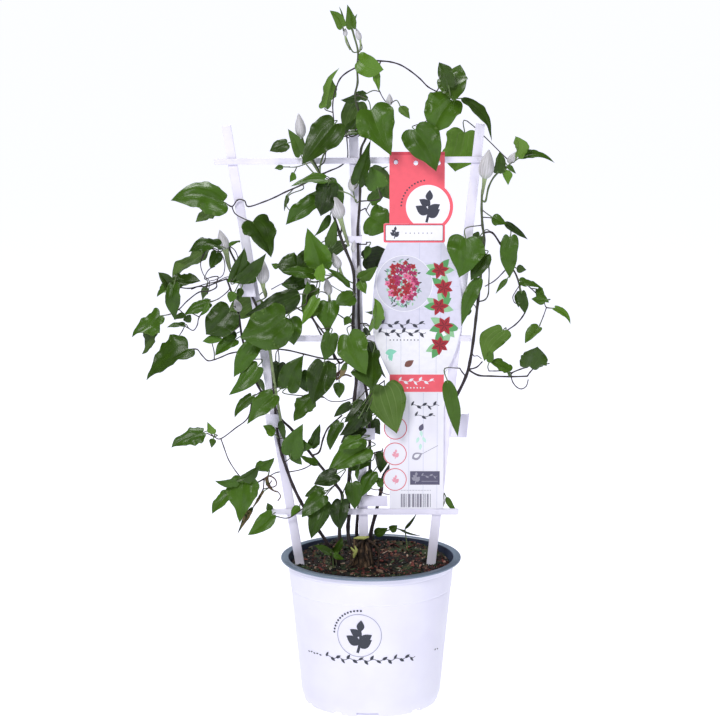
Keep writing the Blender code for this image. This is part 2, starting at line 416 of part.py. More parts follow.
def solid(name, points, faces, finish=None):
    """A mesh object from points in mm, its faces turned outwards."""
    mesh = bpy.data.meshes.new(name)
    mesh.from_pydata([tuple(p * MM) for p in points], [], faces)
    work = bmesh.new()
    work.from_mesh(mesh)
    bmesh.ops.recalc_face_normals(work, faces=work.faces)
    work.to_mesh(mesh)
    work.free()
    made = bpy.data.objects.new(name, mesh)
    bpy.context.scene.collection.objects.link(made)
    if finish:
        mesh.materials.append(finish)
    return made


def combine(target, others, operation, solver):
    """Joins or cuts target with a collection of others, applies it and removes them."""
    group = bpy.data.collections.new(target.name + "_tools")
    bpy.context.scene.collection.children.link(group)
    for other in others:
        for owner in list(other.users_collection):
            owner.objects.unlink(other)
        group.objects.link(other)
        other.hide_render = True
        other.display_type = "WIRE"
    boolean = target.modifiers.new(operation.title(), "BOOLEAN")
    boolean.operation = operation
    boolean.operand_type = "COLLECTION"
    boolean.collection = group
    boolean.solver = solver
    bpy.context.view_layer.update()
    done = bpy.data.meshes.new_from_object(target.evaluated_get(bpy.context.evaluated_depsgraph_get()))
    target.modifiers.clear()
    target.data = done
    for other in others:
        bpy.data.objects.remove(other)
    bpy.data.collections.remove(group)


def body_count(work):
    left, count = set(work.verts), 0
    while left:
        count += 1
        ahead = [left.pop()]
        while ahead:
            place = ahead.pop()
            for edge in place.link_edges:
                other = edge.other_vert(place)
                if other in left:
                    left.remove(other)
                    ahead.append(other)
    return count


def thin_out(target, shares):
    """Drops the points that shape it least, to the first of these shares that leaves it one whole body."""
    for share in shares:
        modifier = target.modifiers.new("Thin out", "DECIMATE")
        modifier.ratio = share
        bpy.context.view_layer.update()
        done = bpy.data.meshes.new_from_object(target.evaluated_get(bpy.context.evaluated_depsgraph_get()))
        target.modifiers.clear()
        work = bmesh.new()
        work.from_mesh(done)
        bare = [edge for edge in work.edges if not edge.link_faces]
        bmesh.ops.delete(work, geom=bare, context="EDGES")
        whole = all(len(edge.link_faces) == 2 for edge in work.edges) and body_count(work) == 1
        work.to_mesh(done)
        work.free()
        points, faces = [v.co for v in done.vertices], [tuple(f.vertices) for f in done.polygons]
        if whole and not crosses_itself(points, faces):
            target.data = done
            return


def prism(outline, y0, y1):
    """Points and faces of a flat outline of (x, z) pairs carried from y0 to y1."""
    count = len(outline)
    points = [mm(x, y0, z) for x, z in outline] + [mm(x, y1, z) for x, z in outline]
    faces = [tuple(range(count)), tuple(range(2 * count - 1, count - 1, -1))]
    faces += [(i, i + count, (i + 1) % count + count, (i + 1) % count) for i in range(count)]
    return points, faces


def circle(x, z, radius, sides, start=0.0):
    return [(x + radius * math.cos(start + math.tau * i / sides),
             z + radius * math.sin(start + math.tau * i / sides)) for i in range(sides)]


def lathe(profile, sides):
    """Points and faces of a profile of (radius, height), from axis to axis, turned about Z."""
    points, faces, rings = [], [], []
    for radius, height in profile:
        if radius == 0.0:
            rings.append([len(points)] * sides)
            points.append(mm(0, 0, height))
            continue
        rings.append(list(range(len(points), len(points) + sides)))
        for i in range(sides):
            angle = math.tau * i / sides
            points.append(mm(radius * math.cos(angle), radius * math.sin(angle), height))
    for low, high in zip(rings, rings[1:]):
        for i in range(sides):
            j = (i + 1) % sides
            corners = []
            for corner in (low[i], low[j], high[j], high[i]):
                if corner not in corners:
                    corners.append(corner)
            faces.append(tuple(corners))
    return points, faces


def frames_along(path, side=None):
    """A side and an upward direction at each point of the path, turned as little as may be."""
    frames = []
    for i in range(len(path)):
        along = (path[min(i + 1, len(path) - 1)] - path[max(i - 1, 0)]).normalized()
        if side is None:
            side = along.cross(Vector((0.0, -1.0, 0.0)))
            if side.length < 0.1:
                side = along.cross(Vector((1.0, 0.0, 0.0)))
        side = (side - along * side.dot(along)).normalized()
        frames.append((side, side.cross(along).normalized()))
    return frames


def tube(path, radii, sides):
    """Points and faces of a closed tube round the path."""
    points, faces = [], []
    for centre, radius, (side, up) in zip(path, radii, frames_along(path)):
        for k in range(sides):
            angle = math.tau * k / sides
            points.append(centre + side * (radius * math.cos(angle)) + up * (radius * math.sin(angle)))
    for i in range(len(path) - 1):
        for k in range(sides):
            a, b = i * sides + k, i * sides + (k + 1) % sides
            faces.append((a, b, b + sides))
            faces.append((a, b + sides, a + sides))
    last = len(points) - sides
    faces.append(tuple(range(sides - 1, -1, -1)))
    faces.append(tuple(range(last, last + sides)))
    return points, faces


def nearest(known, point, ahead, weight):
    """The place on a stem that is near a point and behind it in the given direction."""
    def cost(place):
        gap = point - place[0]
        if ahead is None or gap.length < 0.1:
            return gap.length
        return gap.length * (1.0 + weight * (1.0 - gap.normalized().dot(ahead)))
    return min(known, key=cost)


def shoots_of(name):
    """Every shoot of a stem as (path in mm, radii, sides), each starting on the ones before it."""
    shoots, known = [], []
    for number, (foot, end, rows) in enumerate(STEMS[name]):
        points = [seen(*row) for row in rows]
        if known:
            ahead = (points[1] - points[0]).normalized() if len(points) > 1 else None
            points.insert(0, nearest(known, points[0], ahead, 0.3)[0])
        sides = 5 if foot > 1.5 else 3
        grow = 1.25 if sides == 3 else 1.1
        radii = [grow * (foot + (end - foot) * i / (len(points) - 1)) for i in range(len(points))]
        beyond = points[-1] + (points[-1] - points[-2]).normalized() * 1.5
        shoots.append((points[:-1] + [beyond], radii, sides))
        for i in range(len(points) - 1):
            parts = 1 + int((points[i + 1] - points[i]).length > 14.0)
            for k in range(parts):
                share = k / parts
                radius = radii[i] * (1 - share) + radii[i + 1] * share
                known.append((points[i].lerp(points[i + 1], share), radius))
        known.append((points[-1], radii[-1]))
    known = [k for k in known if k[0].z > 150.0 or name.startswith(("sprig", "grass"))]
    return shoots, known


class Leaf:
    """Where one blade lies: its base, tip, axes and bend."""

    def __init__(self, row, index, known, shift, turn):
        bx, bz, tx, tz, width, depth, lean, roll = row[:8]
        fold, arch = row[8:10] if len(row) > 8 else (12 + 14 * noise(index, 1), 10 + 22 * noise(index, 2))
        self.bow = row[10] if len(row) > 10 else 0.0
        self.base = seen(bx, bz, depth + shift)
        self.tip = seen(tx, tz, depth + shift + lean)
        self.width, self.index = width, index
        chord = self.tip - self.base
        self.length = chord.length
        self.along = chord.normalized()
        facing = EYE - (self.base + self.tip) * 0.5
        facing = (facing - self.along * facing.dot(self.along)).normalized()
        across = self.along.cross(facing)
        angle = math.radians(roll + turn)
        self.normal = facing * math.cos(angle) + across * math.sin(angle)
        self.side = self.along.cross(self.normal)
        self.fold, self.arch = math.radians(fold), math.radians(max(arch, 4.0))
        self.wave = (0.035 + 0.03 * noise(index, 3)) * width
        self.phase = noise(index, 4)
        self.twist = math.radians(-18 + 36 * noise(index, 5))
        start = (self.at(0, 0.06) - self.at(0, 0.0)).normalized()
        reachable = [k for k in known if (k[0] - self.base).length > 5.0]
        self.foot, self.inside = nearest(reachable, self.base, start, 1.3)

    def at(self, h, s, lift=0.0):
        """The point h half widths out and s of the way to the tip, lifted off the middle surface."""
        bend = self.arch * (s - 0.5)
        half = math.sin(self.arch / 2)
        x = (math.sin(bend) + half) / (2 * half) * self.length
        y = (math.cos(bend) - math.cos(self.arch / 2)) / (2 * half) * self.length
        normal = self.along * math.sin(bend) + self.normal * math.cos(bend)
        turn = self.twist * (s - 0.4)
        side = self.side * math.cos(turn) + normal * math.sin(turn)
        normal = normal * math.cos(turn) - self.side * math.sin(turn)
        out, rise = math.cos(self.fold), math.sin(self.fold)
        a = abs(h) * self.width / 2
        up = a * rise * (1.0 - 0.4 * abs(h))
        up += self.wave * h * h * math.sin(math.tau * (1.5 * s + self.phase) + (1.9 if h > 0 else 0.0))
        thick = lift / max(out, 0.6)
        across = math.copysign(a * out, h) + self.bow * self.length * math.sin(math.pi * max(s, 0.0))
        return self.base + self.along * x + self.normal * y + side * across + normal * (up + thick)

    def stalk(self):
        """The petiole's path from the stem to the blade, which it reaches from behind."""
        ahead = (self.at(0, 0.06) - self.at(0, 0.0)).normalized()
        gap = self.base - self.foot
        reach = gap.length
        start = self.foot + gap * (0.45 * self.inside / reach)
        straight = gap.normalized().dot(ahead)
        if reach < 13 and straight > 0.5:
            return [start, self.base]
        middle = self.base - ahead * min(max(0.4 * reach, 4.0), 10.0) + Vector((0, 0, 0.05 * reach))
        if straight < 0.3:
            middle -= self.normal * math.copysign(3.0, gap.dot(self.normal))
        return [start, middle, self.base]


def leaf_mesh(leaf, thickness, petiole):
    """A closed blade whose base runs on into its petiole: points, triangles and how many of the last
    triangles belong to the petiole and to its last stretch."""
    if leaf.length > 31 and leaf.width > 17:
        back, rows = BIG
    elif leaf.length > 19 and leaf.width > 9:
        back, rows = MIDDLE
    else:
        back, rows = SMALL if leaf.length > 12.5 else TINY
    lobe = leaf.width / leaf.length > 0.42
    narrow = min(petiole, 0.35 * leaf.width / 2)
    points, faces = [leaf.at(0.0, 0.0, -thickness / 2)], []

    def put(h, s, under=None):
        """A point on the top and the one under it, as a pair of indices."""
        points.append(leaf.at(h, s, thickness / 2))
        if under is None:
            points.append(leaf.at(h, s, -thickness / 2))
            under = len(points) - 1
            return under - 1, under
        return len(points) - 1, under

    neck = narrow / (leaf.width / 2)
    left, right = put(-neck, 0.0, 0), put(neck, 0.0, 0)
    mids, lefts, rights = [], [], []
    for half, edge, mid in rows:
        mids.append(put(0.0, mid))
        lefts.append(put(-half, edge))
        rights.append(put(half, edge))
    tip = put(0.0, 1.0)
    top = [(left, right, mids[0])]
    if back and lobe:
        back_left, back_right = put(-back[0], back[1]), put(back[0], back[1])
        top += [(left, mids[0], lefts[0]), (left, lefts[0], back_left)]
        top += [(right, rights[0], mids[0]), (right, back_right, rights[0])]
        rim = [left, back_left] + lefts + [tip] + rights[::-1] + [back_right, right]
    else:
        top += [(left, mids[0], lefts[0]), (right, rights[0], mids[0])]
        rim = [left] + lefts + [tip] + rights[::-1] + [right]
    for i in range(len(rows) - 1):
        top += [(lefts[i], mids[i], mids[i + 1]), (lefts[i], mids[i + 1], lefts[i + 1])]
        top += [(mids[i], rights[i], rights[i + 1]), (mids[i], rights[i + 1], mids[i + 1])]
    top += [(lefts[-1], mids[-1], tip), (mids[-1], rights[-1], tip)]
    for a, b, c in top:
        faces.append((a[0], b[0], c[0]))
        if a[1] != b[1]:
            faces.append((c[1], b[1], a[1]))
    for a, b in zip(rim, rim[1:]):
        faces += [(a[0], b[0], b[1]), (a[0], b[1], a[1])]
    path = leaf.stalk()
    steps = len(path) - 1
    ring = (left[0], right[0], 0)
    frames = frames_along(path[::-1], (points[right[0]] - points[left[0]]).normalized())[::-1]
    for i in range(steps - 1, -1, -1):
        share = i / steps
        across, up = frames[i][0], -frames[i][1]
        wide = narrow * share + 0.78 * petiole * (1 - share)
        high = thickness / 2 * share + 0.70 * petiole * (1 - share)
        new = []
        for a, b in ((-1, 1), (1, 1), (0, -1)):
            points.append(path[i] + across * (a * wide) + up * (b * high))
            new.append(len(points) - 1)
        for k in range(3):
            m = (k + 1) % 3
            faces += [(ring[k], ring[m], new[m]), (ring[k], new[m], new[k])]
        ring = tuple(new)
    faces.append(ring)
    return points, faces, 6 * steps + 1


def bud_mesh(row, sides):
    """A pointed bud: points and faces."""
    bx, bz, tx, tz, width, depth = row
    base, tip = seen(bx, bz, depth), seen(tx, tz, depth - 2)
    along = (tip - base).normalized()
    side, up = frames_along([base, tip])[0]
    points, faces, rings = [], [], []
    for share, size in ((0.0, 0.45), (0.33, 1.0), (0.74, 0.60)):
        rings.append(len(points))
        for k in range(sides):
            angle = math.tau * k / sides
            points.append(base + along * ((tip - base).length * share)
                          + (side * math.cos(angle) + up * math.sin(angle)) * (width / 2 * size))
    points.append(tip)
    for low, high in zip(rings, rings[1:]):
        for k in range(sides):
            m = (k + 1) % sides
            faces.append((low + k, low + m, high + m, high + k))
    for k in range(sides):
        faces.append((rings[-1] + k, rings[-1] + (k + 1) % sides, len(points) - 1))
    faces.append(tuple(range(sides - 1, -1, -1)))
    return points, faces


def crown_mesh(grow, low):
    """The woody crown that the main stem grows from, as a knotted column."""
    rings = ((low, 11.0), (138.0, 13.5), (147.0, 15.0), (156.0, 14.0), (164.0, 11.0), (171.0, 6.5))
    points, faces, sides = [], [], 10
    for r, (height, radius) in enumerate(rings):
        for k in range(sides):
            angle = math.tau * k / sides
            size = radius + grow + (0.8 * math.sin(3 * angle + r) if height > 150 else 0.0)
            drift = 0.28 * max(0.0, height - 150.0)
            x, y = size * 1.05 * math.cos(angle), size * 0.6 * math.sin(angle)
            points.append(mm(x - 9.0 - drift, y - 11.6, height))
    for r in range(len(rings) - 1):
        for k in range(sides):
            a, b = r * sides + k, r * sides + (k + 1) % sides
            faces += [(a, b, b + sides), (a, b + sides, a + sides)]
    faces.append(tuple(range(sides - 1, -1, -1)))
    faces.append(tuple(range(len(points) - sides, len(points))))
    return points, faces


def crosses_itself(points, faces):
    tree = tree_of(points, faces)
    return any(a < b and not set(faces[a]) & set(faces[b]) for a, b in tree.overlap(tree))


def tree_of(points, faces):
    return BVHTree.FromPolygons([tuple(p) for p in points], faces)


def box_of(points):
    return ([min(p[i] for p in points) for i in range(3)], [max(p[i] for p in points) for i in range(3)])


def near(a, b):
    return all(a[0][i] < b[1][i] and b[0][i] < a[1][i] for i in range(3))


for old in list(bpy.data.objects):
    bpy.data.objects.remove(old)

WHITE_PLASTIC = material("white_plastic", (0.80, 0.79, 0.88), 0.35)
TAG_BOARD = material("tag_board", (0.86, 0.72, 0.78), 0.4)
SOIL_MIX = material("potting_mix", (0.045, 0.026, 0.018), 0.95)
FOLIAGE = material("clematis", (0.09, 0.20, 0.04), 0.45)

placed = []  # (owner, box, tree) of all that a leaf must keep clear of


def note(owner, points, faces):
    placed.append((owner, box_of(points), tree_of(points, faces)))


# pot: a lathed wall with a rolled rim on a flat base, and a foot with notches round its edge
profile = ((0.0, 0.0),) + POT_OUTER + POT_INNER + ((0.0, 4.0),)
pot_points, pot_faces = lathe(profile, POT_SIDES)
pot = solid("pot", pot_points, pot_faces, WHITE_PLASTIC)
note("pot", pot_points, pot_faces)
notches = []
for number, angle in enumerate(NOTCH_ANGLES):
    wide = (NOTCH_FRONT_WIDTH if number == 0 else NOTCH_WIDTH) / 2
    high = NOTCH_FRONT_HEIGHT if number == 0 else NOTCH_HEIGHT
    outline = ((-wide - 2, -1.0), (wide + 2, -1.0), (wide - 2, high), (-wide + 2, high))
    points, faces = prism(outline, -80.0, -64.0)
    turn = math.radians(angle + 90.0 + (-3.0 if number == 0 else 0.0))
    notches.append(solid("notch", [Matrix.Rotation(turn, 3, "Z") @ p for p in points], faces))
combine(pot, notches, "DIFFERENCE", "EXACT")

# trellis: three uprights in the trellis plane, stuck in the soil, and three bars in front of them
for name, (x, top, slope) in UPRIGHTS.items():
    half = SLAT_WIDTH / 2
    foot = x + slope * (top - SLAT_FOOT)
    outline = ((foot - half, SLAT_FOOT), (foot + half, SLAT_FOOT), (x + half, top), (x - half, top))
    points, faces = prism(outline, -SLAT_DEPTH / 2, SLAT_DEPTH / 2)
    solid(name, points, faces, WHITE_PLASTIC)
    note(name, points, faces)
bar_back = -SLAT_DEPTH / 2 - SLAT_GAP
bar_front = bar_back - BAR_DEPTH
for name, (x0, z0, x1, z1) in BARS.items():
    half = BAR_HEIGHT / 2
    outline = ((x0, z0 - half), (x1, z1 - half), (x1, z1 + half), (x0, z0 + half))
    points, faces = prism(outline, bar_back, bar_front)
    bar = solid(name, points, faces, WHITE_PLASTIC)
    note(name, points, faces)
    if name == "bar_top":
        peg_end = bar_front - TAG_GAP - TAG_THICKNESS - PEG_STICKS_OUT
        points, faces = prism(circle(*TAG_HOLES[0], PEG_RADIUS, 8), bar_front + PEG_ROOT, peg_end)
        combine(bar, [solid("peg", points, faces)], "UNION", "EXACT")

# tag: one thin plate, with the round badge, the framed box, the bowed panel and three discs standing out
tag_back = bar_front - TAG_GAP
tag_front = tag_back - TAG_THICKNESS
points, faces = prism(TAG_STRIP, tag_back, tag_front)
tag = solid("tag", points, faces, TAG_BOARD)
extras = [solid("extra", *prism(outline, tag_back, tag_front))
          for outline in (TAG_PANEL, circle(*TAG_DISC, 24), TAG_LABEL)]
for x, z, radius in TAG_ICONS:
    extras.append(solid("extra", *prism(circle(x, z, radius, 14), tag_back, tag_front)))
combine(tag, extras, "UNION", "EXACT")
combine(tag, [solid("hole", *prism(circle(x, z, TAG_HOLE_RADIUS, 6), tag_back + 2, tag_front - 2))
              for x, z in TAG_HOLES], "DIFFERENCE", "EXACT")
note("tag", [MM ** -1 * v.co for v in tag.data.vertices], [tuple(p.vertices) for p in tag.data.polygons])

# clips: each a strip bent to a U, open to the back
for name, (x, low, wide, high, front, back) in CLIPS.items():
    a, wall = wide / 2, 1.0
    outline = ((-a, back), (-a, front), (a, front), (a, back), (a - wall, back), (a - wall, front + wall),
               (-a + wall, front + wall), (-a + wall, back))
    points, faces = [], []
    slope = UPRIGHTS["trellis_left" if x < -60 else "trellis_right" if x > 60 else "trellis_middle"][2]
    for z, lean in ((low, 0.0), (low + high, slope * high)):
        points += [mm(x + px - lean, py, z) for px, py in outline]
    count = len(outline)
    faces = [tuple(range(count)), tuple(range(2 * count - 1, count - 1, -1))]
    faces += [(i, i + count, (i + 1) % count + count, (i + 1) % count) for i in range(count)]
    solid(name, points, faces, WHITE_PLASTIC)
    note(name, points, faces)

# soil: fills the pot to a little under the rim, its top uneven, with a plain hole for each thing in it
inner = [(r - SOIL_GAP, z) for r, z in reversed(POT_INNER)] + [(SOIL_RADIUS - SOIL_GAP, SOIL_TOP - 0.5)]
inner[0] = (inner[0][0], SOIL_BOTTOM)
rings = [(0.0, SOIL_BOTTOM)] + inner + [(r, SOIL_TOP) for r in (66.0, 42.0, 18.0)] + [(0.0, SOIL_TOP)]
points, faces = lathe(rings, SOIL_SIDES)
for number, p in enumerate(points):
    if p.z >= SOIL_TOP - 0.1:
        p.z += 1.6 * math.sin(p.x * 0.11 + 1.0) * math.cos(p.y * 0.13) + 1.2 * (noise(number, 7) - 0.5)
halves = [(face, (0, 1, 2)) for face in faces] + [(face, (0, 2, 3)) for face in faces if len(face) == 4]
faces = [tuple(face[k] for k in corners) for face, corners in halves]
soil = solid("soil", points, faces, SOIL_MIX)
note("soil", points, faces)
cutters = []
for name, (x, top, slope) in UPRIGHTS.items():
    half, deep = SLAT_WIDTH / 2 + HOLE_GAP, SLAT_DEPTH / 2 + HOLE_GAP
    low, high = SLAT_FOOT - 0.6, 165.0
    foot, head = x + slope * (top - low), x + slope * (top - high)
    outline = ((foot - half, low), (foot + half, low), (head + half, high), (head - half, high))
    cutters.append(solid("slot", *prism(outline, -deep, deep)))
cutters.append(solid("slot", *crown_mesh(0.6, 121.0)))

# plant: the stems first, then the leaves from the largest to the smallest, each moved in depth or
# turned until it is clear of all that stands before it
stem_parts, stem_known = {}, {}
for name in STEMS:
    shoots, known = shoots_of(name)
    stem_known[name] = known
    stem_parts[name] = []
    for number, (path, radii, sides) in enumerate(shoots):
        points, faces = tube(path, radii, sides)
        stem_parts[name].append((points, faces))
        note(name, points, faces)
        if number == 0 and name != "stem_centre":
            foot = path[:1 + next(i for i, p in enumerate(path) if p.z > 156.0)]
            foot.insert(0, foot[0] + (foot[0] - foot[1]).normalized() * 0.6)
            cutters.append(solid("slot", *tube(foot, [radii[0] + 0.5] * len(foot), 6)))
    for row in BUDS.get(name, ()):
        points, faces = bud_mesh(row, 5)
        stem_parts[name].append((points, faces))
        note(name, points, faces)
crown = crown_mesh(0.0, 122.0)
stem_parts["stem_centre"].append(crown)
note("stem_centre", *crown)
combine(soil, cutters, "DIFFERENCE", "EXACT")

SHIFTS = (0, -4, 4, -8, 8, -12, 12, -17, 17, -22, 22, -28, 28, -35)
TURNS = (0, 18, -18, 36, -36)


def trials(row):
    """Each depth and turn that this leaf may take, the wanted one first."""
    for turn in TURNS:
        for shift in SHIFTS:
            depth = row[5] + shift
            if row[5] < 0 and shift > 0 and depth > -6:
                continue
            if row[5] > 0 and shift < 0 and depth < 4:
                continue
            yield shift, turn


def blockers(owner, points, faces, own_faces):
    """The names of the pieces that this leaf would cross."""
    box = box_of(points)
    whole, part_of_it = tree_of(points, faces), tree_of(points, own_faces)
    found = []
    for other, other_box, other_tree in placed:
        if near(box, other_box) and (part_of_it if other == owner else whole).overlap(other_tree):
            found.append(other)
    return found


wanted = []
for name in STEMS:
    rows = LEAVES.get(name, ()) + BACK_LEAVES.get(name, ())
    for index, row in enumerate(rows):
        size = math.hypot(row[2] - row[0], row[3] - row[1]) * row[4]
        wanted.append((-size * (0.4 if index >= len(LEAVES.get(name, ())) else 1.0), name, index, row))
wanted.sort()
for _, name, index, row in wanted:
    found = None
    for whole_petiole in (False, True):
        for shift, turn in trials(row):
            leaf = Leaf(row, index, stem_known[name], shift, turn)
            if crosses_itself(*leaf_mesh(leaf, BLADE, PETIOLE)[:2]):
                continue
            points, faces, petiole = leaf_mesh(leaf, BLADE + 2 * CLEAR, PETIOLE + CLEAR)
            own = faces[:-petiole] if whole_petiole else faces[:-7]
            if not blockers(name, points, faces, own):
                found = leaf
                break
        if found:
            break
    if found:
        points, faces, petiole = leaf_mesh(found, BLADE, PETIOLE)
        stem_parts[name].append((points, faces))
        note(name, points, faces)

for name, parts in stem_parts.items():
    made = [solid(name if not number else name + "_part", points, faces, FOLIAGE)
            for number, (points, faces) in enumerate(parts)]
    if len(made) > 1:
        combine(made[0], made[1:], "UNION", "MANIFOLD")
        if not name.startswith(("sprig", "grass")):
            thin_out(made[0], KEEP)
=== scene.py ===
"""Looks of the potted clematis: metres, +Z up, front towards -Y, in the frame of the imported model."""
import math
import random

import bmesh
import bpy
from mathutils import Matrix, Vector, noise


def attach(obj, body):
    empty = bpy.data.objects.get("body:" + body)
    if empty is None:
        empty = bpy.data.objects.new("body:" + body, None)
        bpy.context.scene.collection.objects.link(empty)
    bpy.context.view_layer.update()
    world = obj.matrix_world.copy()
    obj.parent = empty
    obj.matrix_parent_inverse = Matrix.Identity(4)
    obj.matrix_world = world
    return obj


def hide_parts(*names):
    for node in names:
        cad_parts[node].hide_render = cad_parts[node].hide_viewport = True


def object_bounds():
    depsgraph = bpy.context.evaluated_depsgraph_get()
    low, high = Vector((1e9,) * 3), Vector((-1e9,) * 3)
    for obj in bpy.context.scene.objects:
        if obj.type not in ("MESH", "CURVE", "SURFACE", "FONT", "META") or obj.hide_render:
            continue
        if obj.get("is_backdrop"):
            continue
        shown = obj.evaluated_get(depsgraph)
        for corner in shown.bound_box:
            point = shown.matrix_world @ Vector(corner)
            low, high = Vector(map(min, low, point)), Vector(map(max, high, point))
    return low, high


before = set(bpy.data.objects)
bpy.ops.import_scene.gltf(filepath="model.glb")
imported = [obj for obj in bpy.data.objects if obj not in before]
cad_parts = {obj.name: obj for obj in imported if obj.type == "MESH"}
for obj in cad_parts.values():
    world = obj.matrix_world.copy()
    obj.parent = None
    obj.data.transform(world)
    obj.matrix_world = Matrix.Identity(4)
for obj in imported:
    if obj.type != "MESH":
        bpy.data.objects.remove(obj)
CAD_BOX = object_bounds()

# Studio
# A pale sweep under the pot, one wide soft light over the camera, a weaker one from the right and
# a white room round them. The camera stands 2.5 m off at eye height and looks a little down.
EYE = Vector((0.0, -2.5, 0.814))
LOOK_DOWN = 10.19               # degrees
FOCAL, CENTRE = 2441.0, 370.9   # pixels of a 720 pixel wide picture
PICTURE, SENSOR = 720.0, 36.0


def linear(hexed, share=1.0):
    """A linear colour from an sRGB hex value, or a darker share of it."""
    shown = [int(hexed[i:i + 2], 16) / 255 for i in (1, 3, 5)]
    return tuple(share * (c / 12.92 if c <= 0.04045 else ((c + 0.055) / 1.055) ** 2.4) for c in shown) + (1.0,)


def fill(node, *ordered, **named):
    """Gives a node its settings, whose names start small, and its inputs, in order or by name.

    An input takes a value, or a link from a socket or from the first output of a node.
    """
    for key in [key for key in named if key[0].islower()]:
        setattr(node, key, named.pop(key))
    pairs = list(zip([socket for socket in node.inputs if socket.enabled], ordered))
    for socket, value in pairs + [(node.inputs[key.replace("_", " ")], named[key]) for key in named]:
        if isinstance(value, bpy.types.Node):
            value = next(output for output in value.outputs if output.enabled)
        if isinstance(value, bpy.types.NodeSocket):
            node.id_data.links.new(value, socket)
        else:
            socket.default_value = value
    return node


def add(tree, kind, *ordered, stops=None, **named):
    """A new node with its settings and inputs, and the stops of its ramp."""
    made = fill(tree.nodes.new("ShaderNode" + kind), *ordered, **named)
    for i, (place, shade) in enumerate((stops or {}).items()):
        element = made.color_ramp.elements[i] if i < 2 else made.color_ramp.elements.new(place)
        element.position, element.color = place, shade if isinstance(shade, tuple) else linear(shade)
    return made


def finish_of(name, colour, roughness, **values):
    """A new material: itself, its node tree and its shader, whose plain values are set on it."""
    made = bpy.data.materials.new(name)
    made.use_nodes = True
    shader = fill(made.node_tree.nodes["Principled BSDF"], Base_Color=linear(colour), Roughness=roughness,
                  **values)
    return made, made.node_tree, shader


def placed(name, data):
    """A new object with this data, linked to the scene."""
    made = bpy.data.objects.new(name, data)
    bpy.context.scene.collection.objects.link(made)
    return made


camera = placed("camera", bpy.data.cameras.new("camera"))
camera.location = EYE
camera.rotation_euler = (math.radians(90.0 - LOOK_DOWN), 0.0, 0.0)
camera.data.lens = FOCAL * SENSOR / PICTURE
camera.data.sensor_width = SENSOR
camera.data.shift_x = (PICTURE / 2 - CENTRE) / PICTURE
bpy.context.scene.camera = camera
bpy.context.scene.view_settings.view_transform = "Standard"

floor_paint, tree, shader = finish_of("white_paper_sweep", "#8E8E92", 0.9, Specular_IOR_Level=0.0,
                                      Emission_Color=(0.87, 0.88, 1.0, 1.0), Emission_Strength=1.08)
speck = add(tree, "TexNoise", Scale=60.0, Detail=3.0)
bump = add(tree, "Bump", Strength=0.02, Distance=0.001, Height=speck)
fill(shader, Normal=bump)
bpy.ops.object.select_all(action="DESELECT")
bpy.ops.mesh.primitive_plane_add(size=60.0, location=(0.0, 0.0, -0.0005))
floor = bpy.context.object
floor.name = "floor"
floor.data.materials.append(floor_paint)
floor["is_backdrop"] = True

room = bpy.data.worlds.new("white_room")
room.use_nodes = True
fill(room.node_tree.nodes["Background"], Color=linear("#ECEEFF"), Strength=0.18)
bpy.context.scene.world = room
for name, place, size, power in (("key_light", (-0.8, -2.3, 2.0), 0.7, 42.0),
                                 ("top_light", (-0.4, 0.9, 2.2), 1.1, 34.0),
                                 ("fill_light", (1.5, -2.0, 1.0), 0.7, 8.0)):
    lamp = placed(name, bpy.data.lights.new(name, "AREA"))
    lamp.data.size, lamp.data.energy = size, power
    lamp.location = place
    lamp.rotation_euler = (Vector((0.0, 0.0, 0.35)) - Vector(place)).to_track_quat("-Z", "Y").to_euler()

# Pot
# A 19 cm nursery pot, injection moulded in white polypropylene over a grey-blue one: the wall, a
# rolled rim, two fine steps where the wall widens and a notched foot. The rim and the inside stay grey,
# and the inside is darkened further with painted shade.
MM = 0.001
# The wall's outline from the floor up, over the rim and down inside: radius and height in mm.
POT_WALL = (
    (69.8, 0.0), (70.6, 1.0), (73.5, 11.0), (74.0, 16.0), (84.25, 121.6), (84.33, 122.4), (84.15, 122.9),
    (84.3, 123.5), (84.85, 124.1), (85.0, 125.0), (86.65, 143.9), (86.72, 144.6), (86.5, 145.1),
    (86.6, 145.7), (87.2, 146.1), (87.3, 147.0), (87.5, 152.3), (94.0, 152.3), (94.9, 153.3),
    (94.7, 154.4), (93.6, 155.0), (87.6, 155.0), (86.6, 154.2), (72.2, 14.0), (68.0, 4.0),
)
SMALL_NOTCHES = (-48, *range(-12, 241, 36))   # degrees
NOTCHES = ((-93, 23.0, 5.0), *((angle, 11.0, 3.0) for angle in SMALL_NOTCHES))   # angle, width and height
NOTCH_REACH, NOTCH_DEPTH = 71.0, 16.0
INNER_FOOT, INNER_SLOPE = 0.07159, 0.10074   # radius in metres on the floor, and its growth with height
RIM_FROM, RIM_FULL = 0.1516, 0.1521          # heights in metres between which the grey of the rim begins


def only(*pieces):
    """Selects these pieces alone, the first of them active."""
    bpy.ops.object.select_all(action="DESELECT")
    for piece in pieces:
        piece.select_set(True)
    bpy.context.view_layer.objects.active = pieces[0]


def block(place, size, turn):
    """A box of this size round a place, both in mm, with its turn applied."""
    bpy.ops.object.select_all(action="DESELECT")
    bpy.ops.mesh.primitive_cube_add(size=1.0, location=[v * MM for v in place], rotation=turn,
                                    scale=[v * MM for v in size])
    bpy.ops.object.transform_apply(location=True, rotation=True, scale=True)
    return bpy.context.object


def face_outward(piece):
    """Turns the faces of a closed piece outward."""
    only(piece)
    bpy.ops.object.mode_set(mode="EDIT")
    bpy.ops.mesh.select_all(action="SELECT")
    bpy.ops.mesh.normals_make_consistent(inside=False)
    bpy.ops.object.mode_set(mode="OBJECT")


